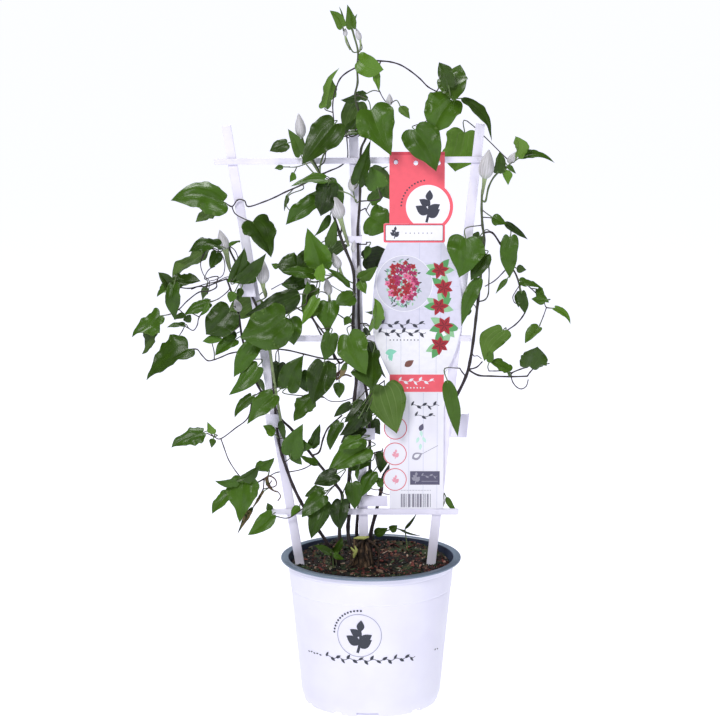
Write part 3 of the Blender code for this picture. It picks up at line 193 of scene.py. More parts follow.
def close_round(piece, width, segments, angle):
    """Rounds a piece's sharp edges by this width in mm, smooths the rest and applies both."""
    bevel = piece.modifiers.new("Rounded edges", "BEVEL")
    bevel.width, bevel.segments = width * MM, segments
    bevel.limit_method, bevel.angle_limit = "ANGLE", math.radians(angle)
    bpy.context.view_layer.objects.active = piece
    bpy.ops.object.modifier_apply(modifier=bevel.name)
    piece.data.shade_smooth()
    piece.data.set_sharp_from_angle(angle=math.radians(angle))


def joined(pieces):
    """The pieces as one object, under the name of the first."""
    only(*pieces)
    bpy.ops.object.join()
    return pieces[0]


def combine(target, others, operation):
    """Adds the others to the target (UNION) or cuts them from it (DIFFERENCE)."""
    for other in others:
        change = target.modifiers.new(operation.title(), "BOOLEAN")
        change.operation, change.object, change.solver = operation, other, "EXACT"
        only(target)
        bpy.ops.object.modifier_apply(modifier=change.name)
        bpy.data.objects.remove(other)


bpy.ops.object.select_all(action="DESELECT")
bpy.ops.mesh.primitive_circle_add(vertices=120, radius=POT_WALL[0][0] * MM, fill_type="NGON")
pot = bpy.context.object
pot.name = "pot_wall"
bpy.ops.object.mode_set(mode="EDIT")
bpy.ops.mesh.select_mode(type="FACE")
bpy.ops.mesh.select_all(action="SELECT")
for (r0, z0), (r1, z1) in zip(POT_WALL, POT_WALL[1:]):
    bpy.ops.mesh.extrude_region_move(TRANSFORM_OT_translate={"value": (0.0, 0.0, (z1 - z0) * MM)})
    bpy.ops.transform.resize(value=(r1 / r0, r1 / r0, 1.0), center_override=(0.0, 0.0, z1 * MM))
bpy.ops.object.mode_set(mode="OBJECT")
face_outward(pot)
cutters = []
for angle, wide, high in NOTCHES:
    turn = math.radians(angle)
    cutters.append(block((NOTCH_REACH * math.cos(turn), NOTCH_REACH * math.sin(turn), 0.0),
                         (NOTCH_DEPTH, wide, 2 * high), (0.0, 0.0, turn)))
    close_round(cutters[-1], 1.2, 3, 60.0)
combine(pot, [joined(cutters)], "DIFFERENCE")
close_round(pot, 0.25, 2, 40.0)

# Polypropylene, moulded satin: a soft sheen, the faint waviness of a thin moulded wall, and the
# lavender white of bleached plastic. A height ramp keeps the rim and a mask by height and radius
# the inside in the grey-blue of the base layer, and the same mask darkens the inside to a deep navy
# as painted shade.
pot_plastic, tree, shader = finish_of("satin_polypropylene_white", "#F1EFFA", 0.36, IOR=1.49)
place = add(tree, "TexCoord").outputs["Object"]
axes = add(tree, "SeparateXYZ", Vector=place).outputs
flat = add(tree, "CombineXYZ", X=axes["X"], Y=axes["Y"])
radius = add(tree, "VectorMath", flat, operation="LENGTH")
wall = add(tree, "Math", axes["Z"], INNER_SLOPE, INNER_FOOT, operation="MULTIPLY_ADD")
inside = add(tree, "Math", wall, radius, operation="SUBTRACT")
inside = add(tree, "MapRange", Value=inside, From_Min=-0.0001, From_Max=0.0001)
above = add(tree, "Math", axes["Z"], 0.02, operation="GREATER_THAN")
inside = add(tree, "Math", inside, above, operation="MULTIPLY")
high = add(tree, "MapRange", Value=axes["Z"], From_Min=RIM_FROM, From_Max=RIM_FULL)
grey = add(tree, "Math", high, inside, operation="MAXIMUM")
cloud = add(tree, "TexNoise", Vector=place, Scale=22.0, Detail=4.0)
white = add(tree, "ValToRGB", Fac=cloud, stops={0.3: "#ECEAF8", 0.7: "#F4F3FC"})
slate = add(tree, "ValToRGB", Fac=cloud, stops={0.3: "#6B7A8C", 0.7: "#7F8F9F"})
# Painted shade: the inside of the wall is mixed to a deep navy, darker than the grey of the rim.
slate = add(tree, "Mix", inside, slate, linear("#363F55"), data_type="RGBA")
both = add(tree, "Mix", grey, white, slate, data_type="RGBA")
moulded = add(tree, "TexNoise", Vector=place, Scale=900.0, Detail=2.0)
bump = add(tree, "Bump", Strength=0.12, Distance=0.0002, Height=moulded)
wavy = add(tree, "Bump", Strength=0.25, Distance=0.002, Height=cloud, Normal=bump)
fill(shader, Base_Color=both, Normal=wavy)
pot.data.materials.append(pot_plastic)
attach(pot, "root")
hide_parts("pot")

# Print on the pot
# Screen printed in two inks: a thin pale grey ring round a leafy sprig in slate, an arc of slate dots over
# it and a row of small slate leaves under it. The print is generic and lies on the wall as a film of ink.
SLATE_INK, _, _ = finish_of("slate_screen_ink", "#343842", 0.45, IOR=1.5)
GREY_INK, _, _ = finish_of("pale_grey_screen_ink", "#A6A7B6", 0.45, IOR=1.5)
BADGE = (-12.2, 91.2, 23.5)   # mm: across, height and radius of the ring
OUTER_FOOT, OUTER_SLOPE, FILM = 72.41, 0.0989, 0.16   # mm: the wall's radius, its growth, the film on it


def disc(x, z, radius, sides=32):
    """One round shape."""
    return [[(x + radius * math.cos(math.tau * i / sides), z + radius * math.sin(math.tau * i / sides))
             for i in range(sides)]]


def dots(x, z, step, count, radius, sides=8):
    """A row of round shapes from (x, z) to the right."""
    return [shape for i in range(count) for shape in disc(x + step * i, z, radius, sides)]


def dots_round(x, z, reach, first, step, count, radius):
    """Round shapes on an arc about (x, z), angles in degrees from +x."""
    turns = [math.radians(first + step * i) for i in range(count)]
    return [shape for turn in turns
            for shape in disc(x + reach * math.cos(turn), z + reach * math.sin(turn), radius, 10)]


def quads(rows):
    """The quads between rows of two points."""
    return [[a[0], b[0], b[1], a[1]] for a, b in zip(rows, rows[1:])]


def ring(x, z, radius, width, steps=72):
    """A ring, from its outer radius and its width."""
    return quads([[(x + r * math.cos(math.tau * i / steps), z + r * math.sin(math.tau * i / steps))
                   for r in (radius, radius - width)] for i in range(steps + 1)])


def stroke(points, width):
    """A line of this width through the points."""
    sides = []
    for i, (x, z) in enumerate(points):
        (x0, z0), (x1, z1) = points[max(i - 1, 0)], points[min(i + 1, len(points) - 1)]
        long = math.hypot(x1 - x0, z1 - z0)
        across = ((z0 - z1) / long * width / 2, (x1 - x0) / long * width / 2)
        sides.append([(x + across[0], z + across[1]), (x - across[0], z - across[1])])
    return quads(sides)


def leaflet(x, z, length, width, angle, steps=8):
    """A pointed leaf that grows from (x, z) at this angle in degrees."""
    c, s = math.cos(math.radians(angle)), math.sin(math.radians(angle))
    rows = []
    for i in range(steps + 1):
        along = length * i / steps
        half = width / 2 * math.sin(math.pi * (i / steps) ** 0.8) + 0.01
        rows.append([(x + along * c - across * s, z + along * s + across * c) for across in (half, -half)])
    return quads(rows)


def sprig(x, z, size):
    """A leafy sprig that stands on (x, z): a curved stalk and five broad leaves."""
    stalk = [(x + size * 0.10 * math.sin(2.2 * t / 8), z + size * 0.8 * t / 8) for t in range(9)]
    shapes = stroke(stalk, size * 0.09)
    for share, side, long in ((0.2, 1, 0.50), (0.34, -1, 0.54), (0.55, 1, 0.46), (0.70, -1, 0.42)):
        shapes += leaflet(*stalk[round(share * 8)], size * long, size * long * 0.64, 90 - side * 58)
    return shapes + leaflet(stalk[-1][0], stalk[-1][1] - size * 0.04, size * 0.40, size * 0.26, 84)


def vine(x0, x1, z, length, width):
    """A row of small leaves on a waving stalk."""
    count = int((x1 - x0) / (0.92 * length))
    step = (x1 - x0) / count
    shapes = stroke([(x0 + step * i / 4, z + 0.16 * length * math.sin(math.pi * i / 4))
                     for i in range(4 * count + 1)], 0.09 * length)
    for i in range(count):
        turn = (58, -34, 30, -52)[i % 4]
        shapes += leaflet(x0 + step * i, z, length, width * (1.0 if i % 3 else 0.8), turn, 6)
    return shapes


def of_mesh(name, points, faces, *finishes):
    """A new object of these points and faces, linked to the scene."""
    mesh = bpy.data.meshes.new(name)
    mesh.from_pydata(points, [], faces)
    for finish in finishes:
        mesh.materials.append(finish)
    return placed(name, mesh)


def printed(name, shapes, ink, to_place):
    """A film of ink from flat shapes of (across, up) in mm, each a hair's breadth off the next."""
    points, faces = [], []
    for number, shape in enumerate(shapes):
        faces.append(tuple(range(len(points), len(points) + len(shape))))
        points += [to_place(across, up, 0.024 * (0.618 * number % 1.0)) for across, up in shape]
    made = of_mesh(name, points, faces, ink)
    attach(made, "root")
    return made


def on_the_pot(across, up, lift):
    """A place on the front of the wall, with the distance across measured round it."""
    size = OUTER_FOOT + OUTER_SLOPE * up + FILM + lift
    angle = across / size
    return (size * math.sin(angle) * MM, -size * math.cos(angle) * MM, up * MM)


x, z, size = BADGE
leafy = sprig(x - 1.6, z - 19.0, 31.0) + dots_round(x, z, size + 3.6, 86, 7.5, 13, 1.15)
leafy += vine(-50.0, 49.0, 64.3, 6.4, 3.2)
for i, across in enumerate((-77.0, -72.5, -68.0, -63.5, -59.0, 79.0, 84.0)):
    leafy += leaflet(across, 64.3, 3.4, 1.5, 12 if i % 2 else -10)
for name, shapes, ink in (("pot_print_ring", ring(x, z, size, 0.7), GREY_INK),
                          ("pot_print_sprig", leafy, SLATE_INK)):
    film = printed(name, shapes, ink, on_the_pot)

# Potting mix
# Moist peat with composted bark, green algae where it stays wet and a few bits of perlite. It fills
# the pot to a finger under the rim and stands a little higher round the crown.
SOIL_TOP, SOIL_RADIUS, SOIL_FOOT = 146.5, 85.0, 4.8


def rough(x, y, scale, seed):
    """Soft random relief from -1 to 1 at a place in mm."""
    return noise.noise(Vector((x / scale, y / scale, seed)))


def soil_height(x, y):
    """How high the mix lies at a place, in mm: a mound under the crown, a rise to the back, crumbs."""
    mound = 3.5 * math.exp(-((x + 12) ** 2 + (y + 10) ** 2) / 900.0)
    edge = max(0.0, math.hypot(x, y) - 78.0)
    back = 6.5 * min(1.0, max(0.0, (y - 5.0) / 55.0))
    return (SOIL_TOP - 0.8 + mound * 0.6 + back + 1.4 * rough(x, y, 22.0, 1.0) + 2.6 * rough(x, y, 8.0, 2.0)
            + 1.2 * rough(x, y, 2.6, 3.0) - 0.25 * edge)


points, faces = [(0.0, 0.0, soil_height(0, 0) * MM)], []
rings, sides = 64, 180
for r in range(1, rings + 1):
    for k in range(sides):
        angle = math.tau * (k + 0.5 * (r % 2)) / sides
        x, y = SOIL_RADIUS * r / rings * math.cos(angle), SOIL_RADIUS * r / rings * math.sin(angle)
        points.append((x * MM, y * MM, soil_height(x, y) * MM))
for radius, height in ((84.6, 140.0), (71.4, 14.0), (67.4, SOIL_FOOT)):
    for k in range(sides):
        angle = math.tau * k / sides
        points.append((radius * math.cos(angle) * MM, radius * math.sin(angle) * MM, height * MM))
for k in range(sides):
    faces.append((0, 1 + k, 1 + (k + 1) % sides))
for r in range(rings + 2):
    for k in range(sides):
        a, b = 1 + r * sides + k, 1 + r * sides + (k + 1) % sides
        faces.append((a, a + sides, b + sides, b))
faces.append(tuple(range(1 + (rings + 3) * sides - 1, 1 + (rings + 2) * sides - 1, -1)))
soil = of_mesh("soil_peat", points, faces)
soil.data.shade_smooth()

# Peat and bark, matt and damp: red-brown crumbs of 2 to 4 mm between near-black fibres, and dull
# green algae in patches of 2 cm.
peat, tree, shader = finish_of("damp_peat_and_bark", "#2B1A12", 0.85, IOR=1.4)
place = add(tree, "TexCoord").outputs["Object"]
crumbs = add(tree, "TexVoronoi", Vector=place, Scale=330.0, Randomness=1.0)
fine = add(tree, "TexNoise", Vector=place, Scale=520.0, Detail=5.0, Roughness=0.7)
tone = add(tree, "SeparateColor", Color=crumbs.outputs["Color"]).outputs["Red"]
brown = add(tree, "ValToRGB", Fac=tone, stops={0.0: "#050303", 0.5: "#110A08", 0.72: "#2C150F",
                                               0.92: "#64291F", 1.0: "#94705A"})
dark = add(tree, "ValToRGB", Fac=fine, stops={0.38: "#0E0908", 0.62: "#FFFFFF"})
damp = add(tree, "Mix", 0.75, brown, dark, data_type="RGBA", blend_type="MULTIPLY")
patch = add(tree, "TexNoise", Vector=place, Scale=42.0, Detail=3.0)
patch = add(tree, "MapRange", Value=patch, From_Min=0.50, From_Max=0.60)
speckle = add(tree, "Math", patch, fine, operation="MULTIPLY")
algae = add(tree, "Mix", speckle, damp, linear("#344A24"), data_type="RGBA")
bump = add(tree, "Bump", Strength=0.9, Distance=0.0012, Height=crumbs)
bump = add(tree, "Bump", Strength=0.8, Distance=0.0006, Height=fine, Normal=bump)
fill(shader, Base_Color=algae, Normal=bump)
soil.data.materials.append(peat)
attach(soil, "root")
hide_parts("soil")

# Flakes of bark, twigs and perlite that lie on the mix. Each is a chipped slab of 12 corners, pressed
# a little way in, and its own shade sits in a colour attribute.
BARK_TINTS = ("#1C0D0A", "#54241B", "#0C0706", "#7C352C", "#2A130E", "#925044", "#5E2C22", "#C0A38E")
WET_TINTS = ("#0A0806", "#20180F", "#2A3A1C", "#0C0A08", "#2A1A12", "#3E5630", "#5A7048", "#A09A80")
chance = random.Random(11)
points, faces, tints = [], [], []


def flake(x, y, lift, size, flat, turn, tilt, tint):
    """Adds one chip, an uneven six-sided slab that lies on the mix at (x, y), to the lists."""
    first, ground = len(points), soil_height(x, y) + lift
    c, s = math.cos(turn), math.sin(turn)
    for level in (-0.5, 0.5):
        for k in range(6):
            angle = math.tau * k / 6 + 0.3 * chance.uniform(-1, 1)
            out = chance.uniform(0.75, 1.0) * (0.82 if level > 0 else 1.0)
            u, v = size[0] / 2 * out * math.cos(angle), size[1] / 2 * out * math.sin(angle)
            z = level * flat + 0.15 * flat * chance.uniform(-1, 1) + u * math.sin(tilt)
            points.append(((x + u * c - v * s) * MM, (y + u * s + v * c) * MM, (ground + z) * MM))
    faces.append(tuple(first + k for k in range(5, -1, -1)))
    faces.append(tuple(first + 6 + k for k in range(6)))
    faces.extend((first + k, first + (k + 1) % 6, first + 6 + (k + 1) % 6, first + 6 + k) for k in range(6))
    tints.extend([tint] * 12)


def tint_points(mesh, tints):
    """Keeps one colour for each point of a mesh in the attribute tint."""
    mesh.attributes.new("tint", "FLOAT_COLOR", "POINT").data.foreach_set("color",
                                                                         [c for t in tints for c in t])


for i in range(1150):
    far, turn = 83.0 * math.sqrt(chance.random()), chance.uniform(0, math.tau)
    x, y = far * math.cos(turn), far * math.sin(turn)
    big = chance.random() ** 3
    size = (1.8 + 9.0 * big, 1.3 + 5.0 * big * chance.uniform(0.5, 1))
    wet = rough(x, y, 17.0, 9.0) - 0.003 * x > 0.02
    tint = linear((WET_TINTS if wet else BARK_TINTS)[min(int(chance.random() ** 1.3 * 8), 7)])
    if chance.random() < (0.09 if wet else 0.02):
        size, tint = (chance.uniform(0.8, 2.0),) * 2, linear("#C9C6B4")
    flake(x, y, 0.4, size, chance.uniform(0.6, 1.3), chance.uniform(0, math.tau), chance.uniform(-0.5, 0.5),
          tint)
for x, y, long, wide, turn, colour in ((10, -36, 13, 5, 2.4, "#A3806B"), (31, -30, 9, 5, 0.3, "#7E3A2E"),
                                       (52, -18, 5, 3, 0.8, "#C08A78"), (-30, -34, 12, 2, -0.5, "#8B6D58"),
                                       (64, -40, 6, 3, 1.9, "#9A6B58"), (-8, -48, 8, 3, 0.2, "#6B5340"),
                                       (78, 6, 4, 3, 0.5, "#B98B7B"), (-58, -22, 4, 3, 1.2, "#B5947F")):
    flake(x, y, 1.0, (long, wide), 1.6, turn, 0.15, linear(colour))

# Composted pine bark, dry on top: matt, each chip in its own tint under a fine grain.
bark, tree, shader = finish_of("composted_pine_bark", "#5A2E22", 0.8, IOR=1.45)
own = add(tree, "Attribute", attribute_name="tint")
place = add(tree, "TexCoord").outputs["Object"]
grain = add(tree, "TexNoise", Vector=place, Scale=700.0, Detail=3.0, Roughness=0.7)
worn = add(tree, "ValToRGB", Fac=grain, stops={0.3: "#6E6E6E", 0.7: "#FFFFFF"})
shade = add(tree, "Mix", 0.8, own, worn, data_type="RGBA", blend_type="MULTIPLY")
bump = add(tree, "Bump", Strength=0.5, Distance=0.0005, Height=grain)
fill(shader, Base_Color=shade, Normal=bump)
chips = of_mesh("soil_bark_chips", points, faces, bark)
tint_points(chips.data, tints)
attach(chips, "root")

# Trellis
# Three flat uprights pushed into the mix and three thinner bars in front of them, pulled from
# lavender white polypropylene and riveted where they cross. The edges are a little rounded.
SLAT_WIDTH, SLAT_DEPTH, BAR_HEIGHT, BAR_DEPTH, SLAT_GAP, SLAT_FOOT = 9.6, 3.0, 6.2, 3.0, 0.3, 112.0
UPRIGHTS = {"trellis_left": (-148.0, 608.0, 0.158), "trellis_middle": (-18.0, 604.0, 0.0246),
            "trellis_right": (112.0, 610.0, -0.1045)}
BARS = {"bar_top": (-160.5, 571.5, 122.0, 574.0), "bar_middle": (-125.0, 388.0, 104.0, 388.0),
        "bar_bottom": (-103.5, 203.4, 92.0, 203.4)}
BAR_BACK = -SLAT_DEPTH / 2 - SLAT_GAP
BAR_FRONT = BAR_BACK - BAR_DEPTH

# Drawn polypropylene: satin, with a faint bumped grain about a millimetre across and soft changes of tone.
slat_plastic, tree, shader = finish_of("satin_polypropylene_strip", "#EFEBFA", 0.33, IOR=1.49)
place = add(tree, "TexCoord").outputs["Object"]
cloud = add(tree, "TexNoise", Vector=place, Scale=35.0, Detail=4.0)
tone = add(tree, "ValToRGB", Fac=cloud, stops={0.3: "#E6E2F4", 0.7: "#F3F0FC"})
fine = add(tree, "TexNoise", Vector=place, Scale=800.0, Detail=2.0)
bump = add(tree, "Bump", Strength=0.15, Distance=0.0002, Height=fine)
fill(shader, Base_Color=tone, Normal=bump)


def strip(name, x0, z0, x1, z1, width, y0, y1, node):
    """A straight flat strip from one end to the other, made from a cube with rounded edges."""
    long, angle = math.hypot(x1 - x0, z1 - z0), math.atan2(z1 - z0, x1 - x0)
    made = block(((x0 + x1) / 2, (y0 + y1) / 2, (z0 + z1) / 2), (long, y1 - y0, width), (0.0, -angle, 0.0))
    made.name = name
    close_round(made, 0.45, 3, 60.0)
    made.data.materials.append(slat_plastic)
    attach(made, "root")
    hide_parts(node)


for name, (x, top, slope) in UPRIGHTS.items():
    strip(name + "_strip", x + slope * (top - SLAT_FOOT), SLAT_FOOT, x, top, SLAT_WIDTH * math.cos(slope),
          -SLAT_DEPTH / 2, SLAT_DEPTH / 2, name)
for name, (x0, z0, x1, z1) in BARS.items():
    strip(name + "_strip", x0, z0, x1, z1, BAR_HEIGHT, BAR_FRONT, BAR_BACK, name)

# Rivets
# Low round heads of the same white polypropylene, hot formed from the uprights. Each holds a bar where it
# crosses an upright.
heads = []


def stud(x, y, z, radius, depth, vertices):
    """A short round bar that points to the front, in mm."""
    bpy.ops.object.select_all(action="DESELECT")
    bpy.ops.mesh.primitive_cylinder_add(vertices=vertices, radius=radius * MM, depth=depth * MM,
                                        location=(x * MM, y * MM, z * MM), rotation=(math.pi / 2, 0.0, 0.0))
    bpy.ops.object.transform_apply(location=True, rotation=True, scale=True)
    return bpy.context.object


for x0, z0, x1, z1 in BARS.values():
    for x, top, slope in UPRIGHTS.values():
        z = z0 + (z1 - z0) * (x - x0) / (x1 - x0)
        heads.append(stud(x + slope * (top - z), BAR_FRONT - 0.15, z, 1.5, 0.7, 20))
        close_round(heads[-1], 0.25, 2, 60.0)
rivets = joined(heads)
rivets.name = "trellis_rivets"
rivets.data.materials.append(slat_plastic)
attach(rivets, "root")

# Tag
# A long die cut tag of white coated board, punched with three holes and hung on a peg of the top bar:
# coral head with a round badge, a framed label, a bowed picture panel and a strip with three discs.
TAG_BACK, TAG_FRONT = BAR_FRONT - 0.5, BAR_FRONT - 1.3
TAG_LEFT, TAG_RIGHT, TAG_TOP, TAG_FOOT = 19.0, 75.6, 582.0, 207.2
TAG_DISC = (58.5, 525.5, 26.0)
TAG_ICONS = ((25.6, 293.5, 12.3), (25.3, 266.0, 12.3), (25.3, 238.6, 12.3))
TAG_HOLES = ((25.5, 571.5), (46.0, 570.5), (69.0, 570.5))
# The outline of the bowed picture panel: across and height in mm.
BOWED = (
    (18.0, 489.0), (74.9, 489.0), (81.0, 476.6), (84.6, 469.5), (87.5, 462.7), (89.7, 455.4),
    (91.3, 448.1), (92.9, 439.5), (94.0, 431.1), (94.6, 421.5), (94.7, 412.1), (94.1, 403.0),
    (93.0, 394.0), (91.2, 385.3), (89.0, 377.0), (84.1, 363.8), (76.3, 349.6), (19.3, 349.6),
    (11.2, 366.9), (7.2, 375.8), (4.2, 384.2), (2.8, 392.0), (2.0, 400.0), (1.4, 415.0), (1.6, 423.0),
    (2.0, 430.0), (3.1, 443.0), (5.2, 456.4), (7.8, 465.4), (11.1, 474.1),
)


def prism(name, near, far):
    """A closed body between two equal outlines in mm."""
    count = len(near)
    faces = [tuple(range(count)), tuple(range(2 * count - 1, count - 1, -1))]
    faces += [(i, i + count, (i + 1) % count + count, (i + 1) % count) for i in range(count)]
    made = of_mesh(name, [[v * MM for v in corner] for corner in [*near, *far]], faces)
    face_outward(made)
    return made


def plate(name, outline, back=TAG_BACK, front=TAG_FRONT):
    """A closed flat plate of this outline, from its back to its front depth."""
    return prism(name, [(x, back, z) for x, z in outline], [(x, front, z) for x, z in outline])


tag = plate("tag_board", ((TAG_LEFT, TAG_TOP), (TAG_RIGHT, TAG_TOP), (76.0, TAG_FOOT), (19.5, TAG_FOOT)))
x, z, size = TAG_DISC
combine(tag, [plate("panel", BOWED), plate("badge", disc(x, z, size, 64)[0]),
              plate("label", ((13.0, 490.0), (14.5, 488.5), (74.7, 488.5), (76.2, 490.0), (76.2, 507.0),
                              (74.7, 508.5), (14.5, 508.5), (13.0, 507.0))),
              *(plate("round", disc(x, z, size, 40)[0]) for x, z, size in TAG_ICONS)], "UNION")
combine(tag, [plate("hole", disc(x, z, 2.3, 20)[0], TAG_BACK + 2, TAG_FRONT - 2) for x, z in TAG_HOLES],
        "DIFFERENCE")
tag.data.shade_flat()

# Coated board: white, smooth, with the low sheen of print varnish.
board, tree, shader = finish_of("varnished_white_board", "#F3F1F8", 0.38, IOR=1.5)
place = add(tree, "TexCoord").outputs["Object"]
cloud = add(tree, "TexNoise", Vector=place, Scale=25.0, Detail=3.0)
tone = add(tree, "ValToRGB", Fac=cloud, stops={0.3: "#EDEBF4", 0.7: "#F6F5FB"})
bump = add(tree, "Bump", Strength=0.1, Distance=0.002, Height=cloud)
fill(shader, Base_Color=tone, Normal=bump)
tag.data.materials.append(board)
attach(tag, "root")
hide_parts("tag")

# Peg
# A round stud with a flat head, moulded on the bar in the same plastic, through the first hole of the
# tag, which hangs from it.
peg = stud(TAG_HOLES[0][0], TAG_FRONT - 0.4, TAG_HOLES[0][1], 1.9, 3.6, 32)
peg.name = "tag_peg"
bpy.ops.object.mode_set(mode="EDIT")
bpy.ops.mesh.select_all(action="DESELECT")
work = bmesh.from_edit_mesh(peg.data)
for face in work.faces:
    face.select = face.normal.y < -0.9
bmesh.update_edit_mesh(peg.data)
bpy.ops.mesh.inset(thickness=0.35 * MM)
bpy.ops.mesh.extrude_region_move(TRANSFORM_OT_translate={"value": (0.0, 0.25 * MM, 0.0)})
bpy.ops.object.mode_set(mode="OBJECT")
close_round(peg, 0.2, 2, 60.0)
peg.data.materials.append(slat_plastic)
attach(peg, "root")

# Print on the tag
# Offset print in a few inks, each a film over the one below it. All of it is generic: sprigs, dots and
# vines in rows, round blossoms on a wreath, a garland and a pattern of bars.
INKS = {
    "coral": "#F6616F", "coral_dark": "#E04557", "white": "#F8F7FC", "lavender": "#DEDCEC",
    "lavender_grey": "#D3D2E0", "lavender_dark": "#BFC3DA", "slate": "#383A46", "slate_pale": "#5B5870",
    "slate_rule": "#6A3A4E", "red": "#A81E2C", "red_dark": "#74121F", "magenta": "#A8245A",
    "rose": "#DE6C92", "rose_pale": "#F2A3B4", "leaf": "#56A05C", "leaf_pale": "#94C896",
    "leaf_blue": "#7FA899", "leaf_dark": "#3E4F48", "mint": "#8FDCC0", "mint_pale": "#C8EEDF",
    "brown": "#7A4C40", "grey": "#9D9BA9",
}
inks = {}
for name, colour in INKS.items():
    inks[name], tree, shader = finish_of("offset_ink_" + name, colour, 0.4, IOR=1.5)
    screen = add(tree, "TexNoise", Vector=add(tree, "TexCoord").outputs["Object"], Scale=180.0, Detail=2.0)
    tone = add(tree, "ValToRGB", Fac=screen, stops={0.3: linear(colour, 0.93), 0.7: colour})
    fill(shader, Base_Color=tone)

films = []


def on_the_tag(layer):
    """The place function of a film of this layer, the first of which lies on the board."""
    return lambda across, up, lift: (across * MM, (TAG_FRONT - 0.04 - 0.03 * layer - lift) * MM, up * MM)


def box(x0, z0, x1, z1):
    """One box."""
    return [[(x0, z0), (x1, z0), (x1, z1), (x0, z1)]]


def soft_box(x0, z0, x1, z1, radius):
    """A box with rounded corners, as one outline."""
    corners = []
    for cx, cz, first in ((x1 - radius, z1 - radius, 0), (x0 + radius, z1 - radius, 90),
                          (x0 + radius, z0 + radius, 180), (x1 - radius, z0 + radius, 270)):
        corners += [(cx + radius * math.cos(math.radians(first + 22.5 * i)),
                     cz + radius * math.sin(math.radians(first + 22.5 * i))) for i in range(5)]
    return [corners]


def leaflets(*rows):
    """A few pointed leaves."""
    return [shape for row in rows for shape in leaflet(*row)]


def rosette(x, z, length, width, turn, petals, steps=8):
    """Leaves or petals all round a point."""
    return leaflets(*((x, z, length, width, turn + 360 * i / petals, steps) for i in range(petals)))


def ink(layer, name, shapes):
    """Keeps the shapes of one film; all are printed at the end."""
    films.append((layer, name, shapes))


# Coral head; three holes stay open because the film keeps clear of them.
BAND_LOW, BAND_HIGH, CLEAR = 567.0, 576.0, 2.6   # the band of the head with the holes, and half a gap in it
head = box(TAG_LEFT, BAND_HIGH, TAG_RIGHT, TAG_TOP) + box(TAG_LEFT, 508.5, 75.7, BAND_LOW)
edges = [TAG_LEFT, *(v for x, _ in TAG_HOLES for v in (x - CLEAR, x + CLEAR)), TAG_RIGHT]
for a, b in zip(edges[::2], edges[1::2]):
    head += box(a, BAND_LOW, b, BAND_HIGH)
for x, z in TAG_HOLES:
    head += ring(x, z, 3.4, 1.0, 20)
    head += box(x - CLEAR, BAND_LOW, x + CLEAR, z - 2.55)
    head += box(x - CLEAR, z + 2.55, x + CLEAR, BAND_HIGH)
ink(0, "coral", head)
x, z, size = TAG_DISC
ink(1, "coral", ring(x, z, size - 0.1, size - 0.2))
ink(2, "coral_dark", box(TAG_LEFT, 578.6, TAG_RIGHT, TAG_TOP))
ink(2, "white", disc(x, z, 22.6, 64))
ink(3, "slate", sprig(57.0, 509.4, 29.0) + dots_round(x, z, 27.4, 98, 7.2, 12, 0.9))
ink(3, "coral", soft_box(13.1, 488.6, 76.1, 508.4, 1.5))
ink(4, "slate_rule", soft_box(14.8, 490.2, 74.4, 507.0, 1.2))
ink(5, "white", soft_box(15.4, 490.8, 73.8, 506.4, 1.0))
ink(6, "slate", sprig(24.0, 492.6, 11.0) + dots(36.0, 498.3, 4.4, 7, 0.55))
# Picture panel: pale boards, a round window with a wreath of blossoms, and a garland beside it.
ink(0, "lavender", [list(BOWED)])
ink(1, "white", [[(20.5, 349.9), (75.4, 349.9), (83.4, 363.8), (88.2, 377.0), (90.4, 385.3), (92.2, 394.0),
                 (92.8, 398.0), (2.8, 398.0), (3.6, 392.0), (5.0, 384.2), (12.0, 366.9)]])
for x in (50.0, 72.0):
    ink(1, "lavender_dark", box(x, 398.0, x + 0.35, 488.0))
for z in (419.0, 443.0, 467.0):
    ink(1, "lavender_dark", box(10.0 if z > 450 else 4.0, z, 84.0 if z > 460 else 91.0, z + 0.3))
ink(2, "white", disc(34.5, 446.0, 29.4, 64))
ink(3, "lavender_grey", disc(34.5, 446.0, 28.8, 64))
draw = random.Random(5)
greens, pales, darks, reds, magentas, roses, centres = ([] for _ in range(7))
for i in range(260):
    angle, far = draw.uniform(0, math.tau), math.sqrt(draw.random())
    x, z = 33.0 + 17.5 * far * math.cos(angle), 446.0 + 25.0 * far * math.sin(angle)
    long, wide, turn = draw.uniform(2.6, 5.0), draw.uniform(1.1, 2.0), draw.uniform(0, 360)
    (greens, pales, darks)[i % 3].extend(leaflet(x, z, long, wide, turn, 4))
for i in range(40):
    angle, far = math.radians(137.5 * i), (0.12 + 0.85 * (i / 40) ** 0.55)
    x, z = 33.0 + 16.5 * far * math.cos(angle), 448.0 + 22.5 * far * math.sin(angle)
    size = draw.uniform(2.6, 4.8)
    petals = (reds, magentas, reds, roses, magentas)[i % 5]
    petals.extend(rosette(x, z, size, size * 0.72, draw.uniform(0, 72), 5, 6))
    centres.extend(disc(x, z, size * 0.2, 8))
for layer, name, shapes in ((4, "leaf_dark", darks), (5, "leaf_pale", pales), (6, "leaf_blue", greens),
                            (7, "magenta", magentas), (7, "rose", roses), (8, "red", reds),
                            (9, "red_dark", centres)):
    ink(layer, name, shapes)
